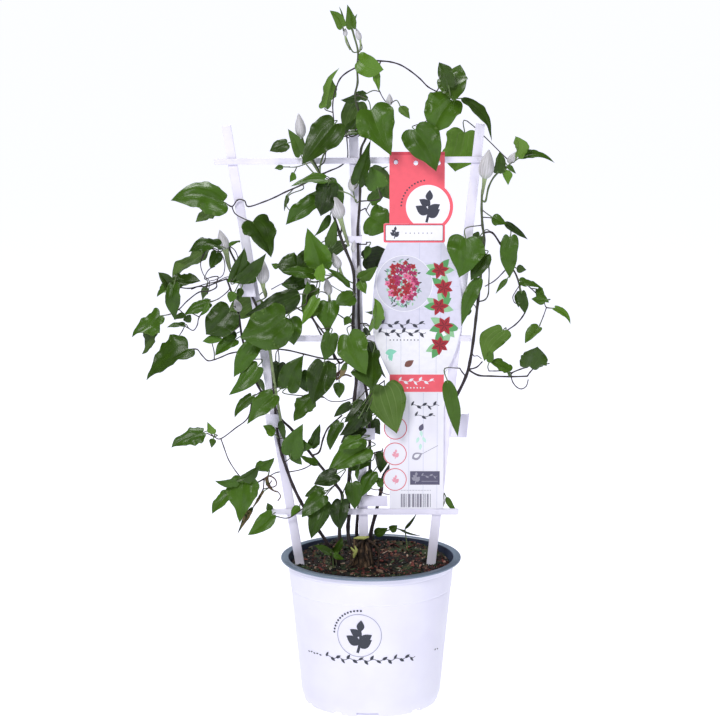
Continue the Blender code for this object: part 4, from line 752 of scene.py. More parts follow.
# The garland: across, height, size and turn of each flower.
GARLAND = ((71.0, 460.0, 10.0, 10), (75.5, 441.5, 10.8, 40), (70.5, 422.0, 10.4, 5),
           (76.0, 402.0, 11.0, 60), (71.5, 381.5, 10.8, 25))
for layer, name, turns in ((4, "leaf_pale", (-30, 130)), (5, "leaf", (165, 20))):
    around = leaflets(*((x, z, size * 1.5, size * 0.8, turn * 3 + more) for x, z, size, turn in GARLAND
                        for more in turns))
    ink(layer, name, [shape for shape in around if all(3.0 < across < 91.5 for across, _ in shape)])
ink(6, "red", leaflets(*((x, z, size * (1.0, 0.88)[k % 2], size * 0.50, turn + 60 * k)
                         for x, z, size, turn in GARLAND for k in range(6))))
ink(7, "red_dark", [shape for x, z, size, turn in GARLAND
                    for shape in rosette(x, z, size * 0.72, size * 0.12, turn, 6, 4)])
# Under the picture panel: two vines, dots and three small motifs between thin rules.
ink(3, "slate", vine(11.0, 56.0, 403.5, 6.6, 3.2) + vine(8.0, 57.0, 394.5, 6.6, 3.2)
    + dots(20.0, 386.8, 3.6, 9, 0.7))
ink(3, "mint", leaflets((15.0, 373.0, 12.0, 6.6, 10), (19.0, 372.0, 8.0, 4.6, -70),
                        (22.0, 372.5, 8.0, 4.0, -110)))
ink(3, "brown", leaflet(35.0, 359.0, 11.5, 6.6, 34))
rules = []
for x, z0, z1 in ((16.0, 366.0, 398.0), (31.0, 352.0, 398.0), (50.0, 350.0, 398.0), (67.5, 350.0, 398.0),
                  (39.5, 208.0, 331.0), (54.5, 208.0, 331.0), (69.0, 208.0, 331.0)):
    rules += box(x, z0, x + 0.28, z1)
ink(2, "lavender_dark", rules)
# Coral band with a white rule pattern, then the strip with three discs and small grey motifs.
ink(3, "coral", box(19.6, 332.0, 75.9, 350.4))
ink(4, "white", vine(29.0, 66.0, 343.4, 5.6, 2.8) + dots(38.0, 336.4, 3.4, 6, 0.8))
for x, z, size in TAG_ICONS:
    ink(2, "coral_dark", ring(x, z, size - 0.2, 0.8))
    ink(3, "rose_pale", sprig(x, z - 5.0, 8.6))
ink(3, "slate", vine(42.0, 71.0, 317.5, 5.8, 2.8) + vine(46.0, 67.0, 306.5, 5.8, 2.8))
ink(3, "mint_pale", leaflets((52.0, 291.0, 7.0, 3.2, -80), (50.0, 284.0, 7.0, 3.2, -110),
                             (54.0, 284.0, 7.0, 3.2, -60), (52.0, 277.0, 7.0, 3.2, -95)))
ink(4, "slate_pale", leaflet(51.0, 290.5, 8.5, 5.0, 66))
thread = stroke([(50.0, 264.0), (58.0, 268.5), (70.0, 275.0)], 0.5)
ink(3, "grey", leaflet(43.0, 261.0, 12.0, 8.0, 28) + thread)
ink(4, "white", leaflet(45.0, 262.4, 7.0, 4.0, 28))
ink(3, "slate_pale", box(41.0, 233.0, 72.0, 247.5))
ink(4, "grey", sprig(46.5, 234.6, 10.5) + vine(53.0, 70.0, 242.5, 4.0, 1.8) + box(53.0, 236.4, 70.0, 237.0))
ink(3, "grey", dots(32.0, 227.0, 1.6, 20, 0.45, 6))
bars, x = [], 31.5
while x < 63.0:
    wide = draw.choice((0.45, 0.45, 0.9, 1.5))
    bars += box(x, 208.8, x + wide, 223.2)
    x += wide + draw.choice((0.6, 0.9, 1.4))
ink(3, "slate_pale", bars)
for number, (layer, name, shapes) in enumerate(films):
    printed(f"tag_print_{number + 1:02d}_{name}", shapes, inks[name], on_the_tag(layer))

# Clips
# Small white clips bent round a slat or a bar from strip plastic: a straight back and two legs, their
# edges rounded. They hold the stems to the trellis.
# Each row: across, lower edge, width, height, front and back in mm.
CLIPS = {
    "clip_1": (-126.0, 433.0, 15.0, 15.0, -12.5, -2.2), "clip_2": (-100.4, 295.0, 16.0, 14.0, -9.6, -0.4),
    "clip_3": (-17.0, 489.0, 16.0, 7.0, -12.6, -0.6), "clip_4": (-5.0, 281.0, 19.0, 12.0, -5.2, -2.1),
    "clip_5": (91.5, 283.0, 17.0, 25.0, -4.0, 2.0), "clip_6": (4.0, 209.5, 27.0, 11.0, -4.9, -2.1),
}
CLIP_WALL = 1.0   # mm
for name, (x, low, wide, tall, front, back) in CLIPS.items():
    half, inner = wide / 2, wide / 2 - CLIP_WALL
    lean = UPRIGHTS["trellis_left" if x < -60 else "trellis_right" if x > 60 else "trellis_middle"][2] * tall
    outline = ((-half, back), (-half, front), (half, front), (half, back), (inner, back),
               (inner, front + CLIP_WALL), (-inner, front + CLIP_WALL), (-inner, back))
    clip = prism(name + "_bent", [(x + u, y, low) for u, y in outline],
                 [(x + u - lean, y, low + tall) for u, y in outline])
    close_round(clip, 0.35, 3, 50.0)
    clip.data.materials.append(slat_plastic)
    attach(clip, "root")
    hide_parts(name)

# Stems
# Woody stems of the last years, dark purple-brown, ribbed and no thicker than a pencil lead, that turn
# to green young shoots at their ends. Clips and tendrils hold them to the trellis.
SIGHT = EYE / MM
# Each row is a shoot: its radius at the foot and at the end, and its points as (across, height, depth), as
# they look in the trellis plane, in mm. A side shoot starts from the nearest point before it.
STEMS = {
    "stem_left": (
        (2, 1, (-36, 122, -4), (-40, 150, -5), (-46, 168, -6), (-56, 184, -8), (-66, 200, -9), (-74, 214, -8),
         (-82, 231, -6.5), (-88, 248, -5.6), (-93, 263, -5.4), (-97, 281, -5.4), (-99, 302, -5.4),
         (-101, 330, -5.2), (-103, 358, -6), (-106, 380, -8.8), (-112, 400, -8.8), (-120, 425, -7),
         (-132, 448, -6), (-139, 466, -5.5), (-146, 482, -5), (-141, 488, -6), (-135, 489, -7)),
        (0.9, 0.7, (-108, 432, -10), (-112, 446, -12)),
        (0.8, 0.6, (-144, 455, -8), (-150, 470, -9), (-150, 481, -10)),
        (0.7, 0.6, (-157, 478, -5), (-166, 482, -5), (-171, 478, -4), (-176, 467, -3)),
        (0.7, 0.6, (-86, 196, -10), (-98, 197, -11), (-104, 199, -12)),
    ),
    "stem_left_back": (
        (1.9, 1, (-33, 122, -12), (-34, 150, -12), (-33, 176, -12), (-33, 203, -10.5), (-30, 220, -9),
         (-37, 232, -8), (-45, 242, -7), (-57, 257, -5), (-66, 269, -3), (-82, 290, 3), (-95, 303, 6),
         (-108, 321, 6), (-120, 342, 4.5), (-128, 365, 3.5), (-134, 390, 2), (-137, 412, 0), (-143, 432, -2),
         (-149, 450, -3)),
        (0.9, 0.7, (-160, 446, -5), (-170, 442, -6), (-178, 442, -6), (-188, 440, -6), (-197, 441, -6),
         (-203, 444, -6)),
        (0.8, 0.6, (-160, 441, -2), (-168, 437, -1), (-178, 436, 0), (-190, 427, 0), (-199, 418, -2),
         (-208, 413, -5), (-218, 411, -8)),
        (0.7, 0.5, (-158, 452, -1), (-164, 452, 0), (-172, 450, 0), (-168, 459, 0), (-161, 463, -1)),
        (0.7, 0.5, (-148, 437, -4), (-158, 429, -6), (-167, 426, -8)),
        (0.7, 0.5, (-178, 410, -6), (-180, 402, -5), (-184, 396, -5), (-189, 398, -4), (-192, 402, -4),
         (-196, 395, -4), (-202, 386, -4)),
        (0.8, 0.6, (-124, 325, 0)),
        (0.8, 0.6, (-128, 304, 2), (-142, 292, -1), (-157, 281, -3), (-164, 283, -4), (-172, 287, -5)),
        (0.7, 0.6, (-154, 272, -3), (-149, 258, -4), (-141, 245, -6), (-134, 237, -9)),
        (0.7, 0.6, (-70, 249, 0), (-85, 245.5, 4.2), (-98, 245, 4.4), (-108, 240, 2)),
        (1.2, 0.8, (-112, 238, -1), (-122, 233, -5), (-130, 235, -9)),
        (0.8, 0.6, (-113, 227, -4)),
        (1.2, 0.9, (-54, 267, -4), (-50, 281, -3), (-45, 292, -4), (-38, 299, -5), (-30, 306, -5)),
        (0.9, 0.7, (-224, 404, -6), (-224, 399, -5)),
        (0.8, 0.7, (-135.5, 416, -7)),
    ),
    "stem_centre": (
        (2.2, 1.2, (-18, 156, -9), (-23, 172, -5), (-24, 186, 0), (-23, 200, 3.2), (-24, 225, 2),
         (-22, 247, 0), (-20, 285, -6), (-17, 325, -11), (-15, 347, -13), (-17, 375, -13.5),
         (-18.5, 402, -13.5), (-17.5, 432, -13.5), (-18, 458, -13.5), (-26, 480, -13), (-32, 496, -13),
         (-43, 530, -13), (-50, 545, -13), (-52, 558, -13), (-59, 572, -12), (-68, 588, -11),
         (-71, 599, -11)),
        (1, 0.7, (-70, 548, -11), (-88, 540, -9), (-98, 535, -8), (-110, 530, -7.5), (-126, 525, -7),
         (-130, 531, -7), (-137, 532, -6.5), (-143, 525, -6), (-150, 529, -6)),
        (0.7, 0.6, (-140, 518, -8), (-132, 513, -12), (-124, 510, -14)),
        (0.7, 0.5, (-70, 543, -15), (-84, 537, -15), (-87, 526, -15), (-80, 518, -14)),
        (1, 0.6, (-42, 562, -7), (-31, 567, 1), (-24, 575, 3.4), (-24.5, 593, 4), (-26, 603, 2)),
        (0.8, 0.6, (-48, 571, -12), (-46, 583, -12)),
        (0.7, 0.5, (-76, 566, -11), (-90, 566, -10)),
        (1.3, 1, (-30, 503, -18), (-32, 514, -20)),
        (0.8, 0.6, (-30, 452, -15), (-33, 462, -16)),
        (1.2, 0.8, (-34, 456, -8), (-48, 449, -5), (-62, 447, -4), (-74, 456, -4), (-80, 464, -5)),
        (0.8, 0.6, (-30, 410, -9), (-41, 419, -9), (-43.5, 434, -10)),
        (0.6, 0.5, (-31, 437, -8), (-41, 443, -6)),
        (1, 0.7, (-27, 365, -14), (-48, 366, -12.5), (-70, 371, -12), (-87, 375, -12), (-106, 376.5, -13),
         (-125, 375, -12.5), (-145, 372, -10), (-155, 368, -9), (-163, 365, -9), (-170, 364, -9),
         (-176, 370, -9.5), (-181, 376, -10), (-189, 376, -11)),
        (1.2, 0.8, (-45, 387, -21), (-60, 408, -22), (-66, 424, -19), (-66, 434, -16), (-64, 445, -15)),
        (1.2, 0.8, (-33, 362, -7), (-42, 378, 1), (-52, 392, 3), (-62, 410, 3.5), (-76, 419, 2),
         (-86, 429, 0)),
        (0.7, 0.6, (-163, 373, -6), (-165, 382, -5)),
        (0.6, 0.5, (-30, 321, -7), (-42, 321, -6), (-49, 325, -6)),
    ),
    "stem_top": (
        (1.8, 1, (-14, 122, 15), (-14, 150, 15), (-15, 180, 11), (-13, 205, 6.5), (-8, 222, 5.2),
         (-2, 240, 5),
         (-1, 262, 4), (-1.5, 290, 2.5), (-3, 320, -2), (-7, 345, -6.5), (-10, 370, -8.6), (-12.4, 403, -8.6),
         (-12.8, 440, -8.4), (-13, 472, -8), (-13.5, 500, -8), (-12, 520, -8), (-11, 541, -8),
         (-11, 562, -8.6), (-10, 584, -8.8), (-5, 597, -9), (-8, 613, -8.5), (-14, 628, -8), (-16, 640, -8),
         (-13.5, 652, -8), (-14, 668, -8), (-13, 683, -8), (-17, 699, -8), (-20, 708, -9)),
        (1, 0.7, (10, 674, -10), (20, 673, -12), (30, 670, -13), (40, 664, -14), (50, 656, -14),
         (58, 648, -14), (67, 643, -14), (75, 639, -13), (82, 636, -12)),
        (1, 0.7, (-25, 662, -9), (-32, 655, -10), (-36.5, 643, -12), (-39, 630, -14), (-38, 613, -18)),
        (0.8, 0.6, (-19, 684, -7), (-26, 700, -7), (-29, 708, -8)),
        (0.7, 0.5, (-9, 687, -9), (-11, 696, -10)),
        (0.7, 0.5, (5, 655, -9), (9, 643, -9), (14, 634, -9), (19, 630, -10)),
        (0.7, 0.5, (81, 636, -12), (72, 627, -13), (58, 614, -18), (46, 607, -23)),
        (0.8, 0.6, (10, 533, -6), (8, 543, -7)),
        (0.8, 0.6, (-15.5, 530, -9), (-18.5, 542, -10)),
        (0.7, 0.6, (-6, 388, -11), (0, 396, -12), (3, 399, -12)),
        (0.8, 0.7, (4, 266, 3), (12, 268, 4)),
        (0.8, 0.6, (4, 336, -9), (12, 341, -14), (14, 343, -16)),
        (0.8, 0.7, (-5, 403, -9), (-1, 400, 3)),
        (0.8, 0.7, (-6, 523, -9), (-5, 521, 4)),
        (0.8, 0.7, (-5, 486, -9), (-4.5, 488, 4)),
    ),
    "stem_right": (
        (2.1, 1.2, (1, 122, 15), (0, 150, 14), (0, 178, 10), (5, 200, 6), (8, 213, 4.6), (11, 226, 4.2),
         (14, 242, 4.2), (32, 268, 4.4), (60, 296, 5), (79, 313, 5), (90, 328, 4), (99, 347, 1),
         (103, 362, 0),
         (106.5, 385, 0), (109, 408, 0), (111, 426, -1), (113, 446, -2), (115, 470, -3), (117, 490, -4),
         (115, 506, -5), (114, 522, -7), (114.5, 540, -10), (117, 555, -14)),
        (1.2, 0.8, (125, 498, -5), (133, 487, -6), (138, 478, -7), (144, 465, -7), (151, 452, -7),
         (156, 433, -7), (160, 418, -7), (157, 410, -7), (150, 402, -7), (140, 395, -7)),
        (1.2, 0.9, (118, 531, -5), (121, 545, -4), (127.5, 557, -4), (138, 565, -3), (144, 570, -3)),
        (0.7, 0.6, (125, 513, -6), (137, 508, -8)),
        (0.9, 0.7, (118, 428, -3), (121.5, 434, -5), (122, 446, -6), (122, 462, -6), (119, 474, -7)),
        (0.8, 0.6, (137, 457, -9), (128, 448, -12), (118, 442, -14)),
        (0.8, 0.5, (158, 446, -8), (172, 434, -8), (179, 426, -8), (182, 420, -8), (190, 419, -7)),
        (0.6, 0.5, (179, 411, -7), (175, 400, -6)),
        (0.6, 0.5, (150, 437, -9), (147, 431, -9), (149, 425, -9), (155, 423, -9)),
        (1.2, 0.9, (112, 348.5, 0), (125, 347.6, -2), (146, 347, -4), (163, 347.5, -5)),
        (0.7, 0.6, (148, 341, -5), (152, 336, -6), (157, 334, -7), (162, 337, -6.5), (164, 344, -6)),
        (0.9, 0.7, (147, 351, -6), (156, 355, -7), (163, 357, -7)),
        (0.9, 0.6, (166, 352, -7), (172, 358, -7), (180, 360, -7), (186, 361, -7)),
        (1, 0.7, (110, 357, -2), (116, 363, -4)),
        (0.9, 0.7, (95, 352, 1), (92.5, 356, 1)),
        (0.6, 0.5, (107, 369, -1), (111, 369, -2), (115, 366, -3)),
        (0.8, 0.6, (138, 353, -6), (129, 353, -6), (123, 353, -6)),
    ),
    "sprig_left": (
        (1.1, 0.7, (-39, 136, -26), (-40, 148, -26), (-41, 158, -27)),
    ),
    "sprig_right": (
        (1, 0.7, (14, 136, 30), (10, 152, 30), (4, 166, 27), (3, 177, 24), (12, 180, 22), (20, 183, 21)),
    ),
    "sprig_back": (
        (1.2, 0.8, (54, 136, 22), (60, 160, 20), (70, 190, 14), (77, 212, 9)),
    ),
    "grass_blade": (
        (0.9, 0.7, (36, 136, 38), (39, 156, 36), (36, 182, 32)),
    ),
}
# How green a shoot is at its foot and at its end, by its number in the stem.
GREEN = {"stem_left": {0: (0.05, 0.45), 1: (0.7, 0.8), 2: (0.6, 0.8)},
         "stem_left_back": {0: (0.0, 0.2), 14: (0.6, 0.7)},
         "stem_centre": {0: (0.0, 0.75), 3: (0.6, 0.7), 5: (0.5, 0.3), 6: (0.6, 0.8), 8: (0.7, 0.8),
                         9: (0.7, 0.8), 10: (0.6, 0.8), 11: (0.7, 0.8), 15: (0.5, 0.7)},
         "stem_top": {0: (0.05, 0.85), 3: (0.7, 0.8), 4: (0.7, 0.8), 6: (0.3, 0.1), 7: (0.3, 0.2),
                      8: (0.7, 0.8), 9: (0.6, 0.8)},
         "stem_right": {0: (0.0, 0.8), 2: (0.8, 0.8), 4: (0.4, 0.6)},
         "sprig_left": {0: (0.6, 0.9)}, "sprig_right": {0: (0.3, 0.7)}, "sprig_back": {0: (0.5, 0.8)},
         "grass_blade": {0: (0.8, 0.9)}}
USUAL_GREEN = (0.12, 0.2)
DARK_WOOD, YOUNG_WOOD = linear("#33262A"), linear("#8CA864")
OLD_FOOT = 1.5   # mm: a stem that starts thicker than this is an old one


def seen(x, z, y):
    """The point that looks to be at (x, z) in the trellis plane and lies y behind it, in mm."""
    scale = 1.0 + y / -SIGHT.y
    return Vector((x * scale, y, SIGHT.z + (z - SIGHT.z) * scale))


def chance_of(i, k):
    """A value from 0 to 1 that looks random and belongs to these two numbers."""
    value = math.sin(i * 12.9898 + k * 78.233) * 43758.5453
    return value - math.floor(value)


def nearest(known, point, ahead, weight):
    """The place on a stem that is near a point and behind it in the given direction."""
    def cost(place):
        gap = point - place[0]
        if ahead is None or gap.length < 0.1:
            return gap.length
        return gap.length * (1.0 + weight * (1.0 - gap.normalized().dot(ahead)))
    return min(known, key=cost)


def between(a, b, c, d, t):
    """The value at t on the smooth curve through b and c, with its neighbours a and d."""
    return 0.5 * (2 * b + (c - a) * t + (2 * a - 5 * b + 4 * c - d) * t * t + (3 * b - a - 3 * c + d) * t ** 3)


def smooth_path(points, steps):
    """A smooth curve through the points, as (place, share of the whole in points)."""
    path, last = [], len(points) - 1
    ends = [points[0] * 2 - points[1], *points, points[-1] * 2 - points[-2]]
    for i in range(last):
        path += [(between(*ends[i:i + 4], k / steps), (i + k / steps) / last) for k in range(steps)]
    path.append((points[-1], 1.0))
    return path


def frames_along(path, side=None):
    """A side and an upward direction at each point of the path, turned as little as may be."""
    frames = []
    for i in range(len(path)):
        along = (path[min(i + 1, len(path) - 1)] - path[max(i - 1, 0)]).normalized()
        if side is None:
            side = along.cross(Vector((0.0, -1.0, 0.0)))
            if side.length < 0.1:
                side = along.cross(Vector((1.0, 0.0, 0.0)))
        side = (side - along * side.dot(along)).normalized()
        frames.append((side, side.cross(along).normalized()))
    return frames


class Skin:
    """Points, faces, flat coordinates and tints of one mesh while it is made."""

    def __init__(self):
        self.points, self.faces, self.slots, self.flat, self.tints = [], [], [], [], []

    def point(self, place, tint):
        """Adds a point, given in mm, and returns its number."""
        self.points.append(place * MM)
        self.tints.append(tint)
        return len(self.points) - 1

    def face(self, corners, flat, slot=0):
        """Adds a face with its flat coordinates and the slot of its material."""
        self.faces.append(tuple(corners))
        self.flat += flat
        self.slots.append(slot)

    def wall(self, rings, heights, slot=0):
        """Adds the faces between rings of points, and one that closes the first ring."""
        sides = len(rings[0])
        for low, high, s, t in zip(rings, rings[1:], heights, heights[1:]):
            for k in range(sides):
                m = (k + 1) % sides
                self.face((low[k], high[k], high[m], low[m]),
                          [(k / sides, s), (k / sides, t), ((k + 1) / sides, t), ((k + 1) / sides, s)], slot)
        self.face(rings[0], [(0.5, 0.0)] * sides, slot)

    def make(self, name, *materials, angle=60.0):
        """The finished object, smooth but for edges sharper than the angle."""
        made = of_mesh(name, self.points, self.faces, *materials)
        mesh = made.data
        tint_points(mesh, self.tints)
        mesh.uv_layers.new(name="UVMap").uv.foreach_set("vector", [c for pair in self.flat for c in pair])
        mesh.polygons.foreach_set("material_index", self.slots)
        mesh.shade_smooth()
        mesh.set_sharp_from_angle(angle=math.radians(angle))
        return made


def tube(skin, path, radii, sides, shades, slot=0, ribs=0.0):
    """A round tube along the path, its seam in the flat coordinates as (round, length in cm)."""
    rings, long = [], [0.0]
    for a, b in zip(path, path[1:]):
        long.append(long[-1] + (b - a).length / 10)
    for centre, radius, shade, (side, up) in zip(path, radii, shades, frames_along(path)):
        sizes = [radius * (1.0 + (ribs if k % 2 else -ribs)) for k in range(sides)]
        turns = [math.tau * k / sides for k in range(sides)]
        places = [centre + side * (size * math.cos(turn)) + up * (size * math.sin(turn))
                  for size, turn in zip(sizes, turns)]
        rings.append([skin.point(place, shade) for place in places])
    skin.wall(rings, long, slot)
    skin.face(rings[-1][::-1], [(0.5, 0.0)] * sides, slot)


def mixed(a, b, share):
    """The colour between two, at this share of the way."""
    return tuple(u + (v - u) * share for u, v in zip(a, b))


# Bark of young clematis wood: thin, ribbed along the stem every half millimetre, satin, with fine
# threads along it that darken it a little, the same on old stems and on the young green.
stem_bark, tree, shader = finish_of("ribbed_clematis_bark", "#3A2A2C", 0.55, IOR=1.45)
own = add(tree, "Attribute", attribute_name="tint")
flat = add(tree, "UVMap", uv_map="UVMap")
stretched = add(tree, "Mapping", Vector=flat, Scale=(9.0, 1.2, 1.0))
threads = add(tree, "TexNoise", Vector=stretched, Scale=2.0, Detail=4.0, Roughness=0.65)
worn = add(tree, "ValToRGB", Fac=threads, stops={0.28: "#9C9C9C", 0.75: "#FFFFFF"})
shade = add(tree, "Mix", 1.0, own, worn, data_type="RGBA", blend_type="MULTIPLY")
bump = add(tree, "Bump", Strength=0.6, Distance=0.0003, Height=threads)
fill(shader, Base_Color=shade, Normal=bump)

stem_known = {}
for name, table in STEMS.items():
    known, skin = [], Skin()
    for number, (foot, end, *rows) in enumerate(table):
        points, old = [seen(*row) for row in rows], foot > OLD_FOOT
        if known:
            ahead = (points[1] - points[0]).normalized() if len(points) > 1 else None
            points.insert(0, nearest(known, points[0], ahead, 0.3)[0])
        last = len(points) - 1
        radii = [(1.1 if old else 1.25) * (foot + (end - foot) * i / last) for i in range(last + 1)]
        for a, b, near, far in zip(points, points[1:], radii, radii[1:]):
            for share in ((0.0, 0.5) if (b - a).length > 14.0 else (0.0,)):
                known.append((a.lerp(b, share), near * (1 - share) + far * share))
        known.append((points[-1], radii[-1]))
        path = smooth_path(points, 5)
        first, final = GREEN[name].get(number, USUAL_GREEN)
        sizes, shades = [], []
        for i, (place, share) in enumerate(path):
            knot = 1.0 + 0.22 * math.exp(-((share * last - round(share * last)) / 0.22) ** 2)
            sizes.append((foot + (end - foot) * share) * (0.92 if old else 0.86) * knot)
            green = first + (final - first) * (share ** 3 if old else share)
            shades.append(mixed(DARK_WOOD, YOUNG_WOOD, green * green * (0.85 + 0.3 * chance_of(i, 8))))
        tube(skin, [place for place, _ in path], sizes, 10 if old else 8, shades, ribs=0.05)
    stem_known[name] = [k for k in known if k[0].z > 150.0 or name.startswith(("sprig", "grass"))]
    shoots = skin.make(name + "_shoots", stem_bark)
    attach(shoots, "root")
    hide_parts(name)

# Crown
# The old woody crown of the graft: a knotted stump with bark in plates, cut stubs and a pale scale. It
# stands in the mix, and the stems rise from it.
CROWN = (-9.0, -11.6)   # mm: across and depth of its middle
CROWN_FOOT, CROWN_TOP = 122.0, 178.5
skin, sides, layers = Skin(), 40, 34
profile = ((CROWN_FOOT, 11.0), (138.0, 13.0), (147.0, 12.5), (156.0, 11.0), (166.0, 8.5), (174.5, 6.0),
           (178.0, 3.5))
for r in range(layers + 1):
    height = CROWN_FOOT + (CROWN_TOP - CROWN_FOOT) * r / layers
    (z0, r0), (z1, r1) = [pair for pair in zip(profile, profile[1:]) if pair[0][0] <= height][-1]
    radius = r0 + (r1 - r0) * min((height - z0) / (z1 - z0), 1.0)
    drift = 0.1 * max(0.0, height - 150.0)
    for k in range(sides):
        angle = math.tau * k / sides
        c, s = math.cos(angle), math.sin(angle)
        ridge = 0.9 * math.sin(3 * angle + height * 0.12) + 0.7 * math.sin(7 * angle - height * 0.2)
        knots = 1.6 * noise.noise(Vector((c * 2.2, s * 2.2, height * 0.16)))
        size = radius + (ridge + knots) * (0.25 if height < 150 else 0.9) * min(radius / 8, 1.0)
        tone = 0.5 + 0.5 * noise.noise(Vector((c * 3, s * 3, height * 0.3)))
        skin.point(Vector((CROWN[0] - drift + size * 1.05 * c, size * 0.6 * s + CROWN[1], height)),
                   mixed(linear("#1C120E"), linear("#6E543E"), tone * tone))
for r in range(layers):
    for k in range(sides):
        corners = ((k, r), (k + 1, r), (k + 1, r + 1), (k, r + 1))
        skin.face([v * sides + u % sides for u, v in corners], [(u / 6, v / 6) for u, v in corners])
skin.face(range(sides - 1, -1, -1), [(0.0, 0.0)] * sides)
skin.face(range(layers * sides, (layers + 1) * sides), [(0.0, 0.0)] * sides)
# Stubs: where each starts and ends, and its radius.
STUBS = (
    ((-2, 168, -12), (6, 176, -14), 2.0), ((-20, 164, -12), (-27, 170, -13), 1.6),
    ((-6, 161, -18), (-2, 150, -26), 2.2), ((-16, 158, -18), (-26, 149, -27), 2.0),
    ((-5, 177, -16), (9, 166, -21), 1.7), ((-12, 165, -14), (-10, 179, -14), 1.5),
    ((8, 168, -20), (7, 150, -24), 1.5), ((-4, 174, -19), (1, 152, -25), 1.6),
    ((-9, 176, -19), (-24, 163, -22), 1.4),
)
for (x, z, y), (u, w, v), thick in STUBS:
    middle = Vector(((x + u) / 2 + 1, (y + v) / 2 - 1, (z + w) / 2 + 1))
    path = [place for place, _ in smooth_path([Vector((x, y, z)), middle, Vector((u, v, w))], 4)]
    tube(skin, path, [thick * (1 - 0.07 * i) for i in range(len(path))], 8,
         [mixed(linear("#3A2A20"), linear("#6B5642"), 0.1 * i) for i in range(len(path))])
# Old roots and shoots: direction in degrees, reach at the foot and at the end, radius.
STRANDS = (
    (200, 13.5, 4.0, 2.4), (232, 11.0, 5.5, 1.9), (258, 14.0, 3.0, 2.7), (284, 11.5, 6.5, 2.1),
    (310, 14.5, 5.0, 2.5), (338, 12.0, 8.0, 1.9), (168, 12.5, 7.0, 2.0), (20, 12.0, 6.0, 2.2),
)
for k, (angle, low, high, thick) in enumerate(STRANDS):
    path, shares, bright = [], [i / 8 for i in range(9)], 0.35 + 0.55 * chance_of(k, 6)
    for share in shares:
        turn = math.radians(angle + 26 * math.sin(3.1 * share + k) + 14 * share)
        out = low + (high - low) * share ** 0.7 + 1.1 * math.sin(7 * share + 2 * k)
        path.append(Vector((CROWN[0] - 1.5 * share + out * math.cos(turn),
                            CROWN[1] + 0.62 * out * math.sin(turn),
                            142.0 + (29.0 + 8.0 * chance_of(k, 5)) * share)))
    # Each strand runs from near black at its foot to light tan at its top: the bark's own brown, with painted
    # shade low down between the strands and a painted highlight on their upper parts.
    tube(skin, path, [thick * (1.0 - 0.35 * i / 8 + 0.22 * math.sin(2.3 * i + k)) for i in range(9)], 10,
         [mixed(linear("#241813"), linear("#9A7C5E"), bright * (0.6 + 0.5 * share)) for share in shares],
         ribs=0.12)

# Old bark: fissured every 3 mm, matt, grey-brown on the ridges and nearly black between them.
old_bark, tree, shader = finish_of("fissured_old_bark", "#4A382C", 0.85, IOR=1.45)
own = add(tree, "Attribute", attribute_name="tint")
place = add(tree, "TexCoord").outputs["Object"]
tall = add(tree, "Mapping", Vector=place, Scale=(1.0, 1.0, 0.35))
cracks = add(tree, "TexVoronoi", Vector=tall, Scale=330.0, feature="DISTANCE_TO_EDGE")
fine = add(tree, "TexNoise", Vector=tall, Scale=700.0, Detail=4.0)
open_to = add(tree, "MapRange", Value=cracks, From_Min=0.0, From_Max=0.25, To_Min=0.25, To_Max=1.0)
shade = add(tree, "Mix", 1.0, own, open_to, data_type="RGBA", blend_type="MULTIPLY")
bump = add(tree, "Bump", Strength=0.9, Distance=0.001, Height=cracks)
bump = add(tree, "Bump", Strength=0.6, Distance=0.0004, Height=fine, Normal=bump)
fill(shader, Base_Color=shade, Normal=bump)
crown = skin.make("crown_wood", old_bark)
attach(crown, "root")
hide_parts("stem_centre")

# A dry bud scale and a pale new sprout on the crown, thin and waxy, yellow-green like all that grows
# in the shade of the mix.
scale_skin, _, _ = finish_of("pale_bud_scale", "#A9AE62", 0.5, IOR=1.4)
skin, pale = Skin(), (1.0, 1.0, 1.0, 1.0)
# Each row: the points of one, and its radius at each of them.
YOUNG_BITS = (
    (((-18, 179, -21), (-13, 180, -23), (-7, 180, -23), (-2, 180.5, -21)), (0.5, 1.7, 1.9, 0.6)),
    (((-18, 159, -24), (-17, 163, -25), (-15, 168, -26), (-17, 172, -25)), (1.0, 2.0, 1.7, 0.5)),
    (((-21, 170, -24), (-18, 167, -26), (-15, 164, -25)), (0.6, 1.4, 0.8)),
)
for points, sizes in YOUNG_BITS:
    tube(skin, [Vector((x, y, z)) for x, z, y in points], sizes, 8, [pale] * len(points))
scale = skin.make("crown_bud_scale", scale_skin)
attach(scale, "root")

# Buds
# Closed flower buds, silver-grey and felted with short hairs: four sepals that meet in raised seams,
# ribbed lengthwise, on a short green neck. Each row: base and tip as seen, width and depth.
BUDS = {
    "stem_top": ((-11, 695, -15, 707, 5.5, -10), (-26, 699, -26, 707, 4.5, -7),
                 (19, 629, 19, 641, 6.5, -10), (-19, 541, -20, 557, 8, -10),
                 (-18.5, 478, -17, 490, 5, -14), (-11.5, 452, -12.3, 464, 6, -10)),
    "stem_centre": ((-71, 596, -74, 621, 10.5, -11), (-31, 513, -40, 538, 14, -20),
                    (-33, 461, -39, 477, 9, -16), (-43.5, 433, -46, 451, 8.5, -10),
                    (-64, 444, -68, 451, 6, -15)),
    "stem_left": ((-112, 445, -111, 470, 12.5, -12), (-150, 480, -156, 501, 11, -10)),
    "stem_left_back": ((-136, 416, -141, 429, 8, -8),),
    "stem_right": ((117, 554, 121, 584, 15, -14), (141, 570, 150, 582, 7.5, -3)),
}
# A bud's half outline: share of the length and share of the half width.
BUD_SHAPE = (
    (0.0, 0.30), (0.04, 0.52), (0.10, 0.72), (0.18, 0.88), (0.27, 0.97), (0.36, 1.0), (0.46, 0.97),
    (0.56, 0.88), (0.66, 0.74), (0.76, 0.57), (0.85, 0.39), (0.93, 0.22), (0.98, 0.09),
)

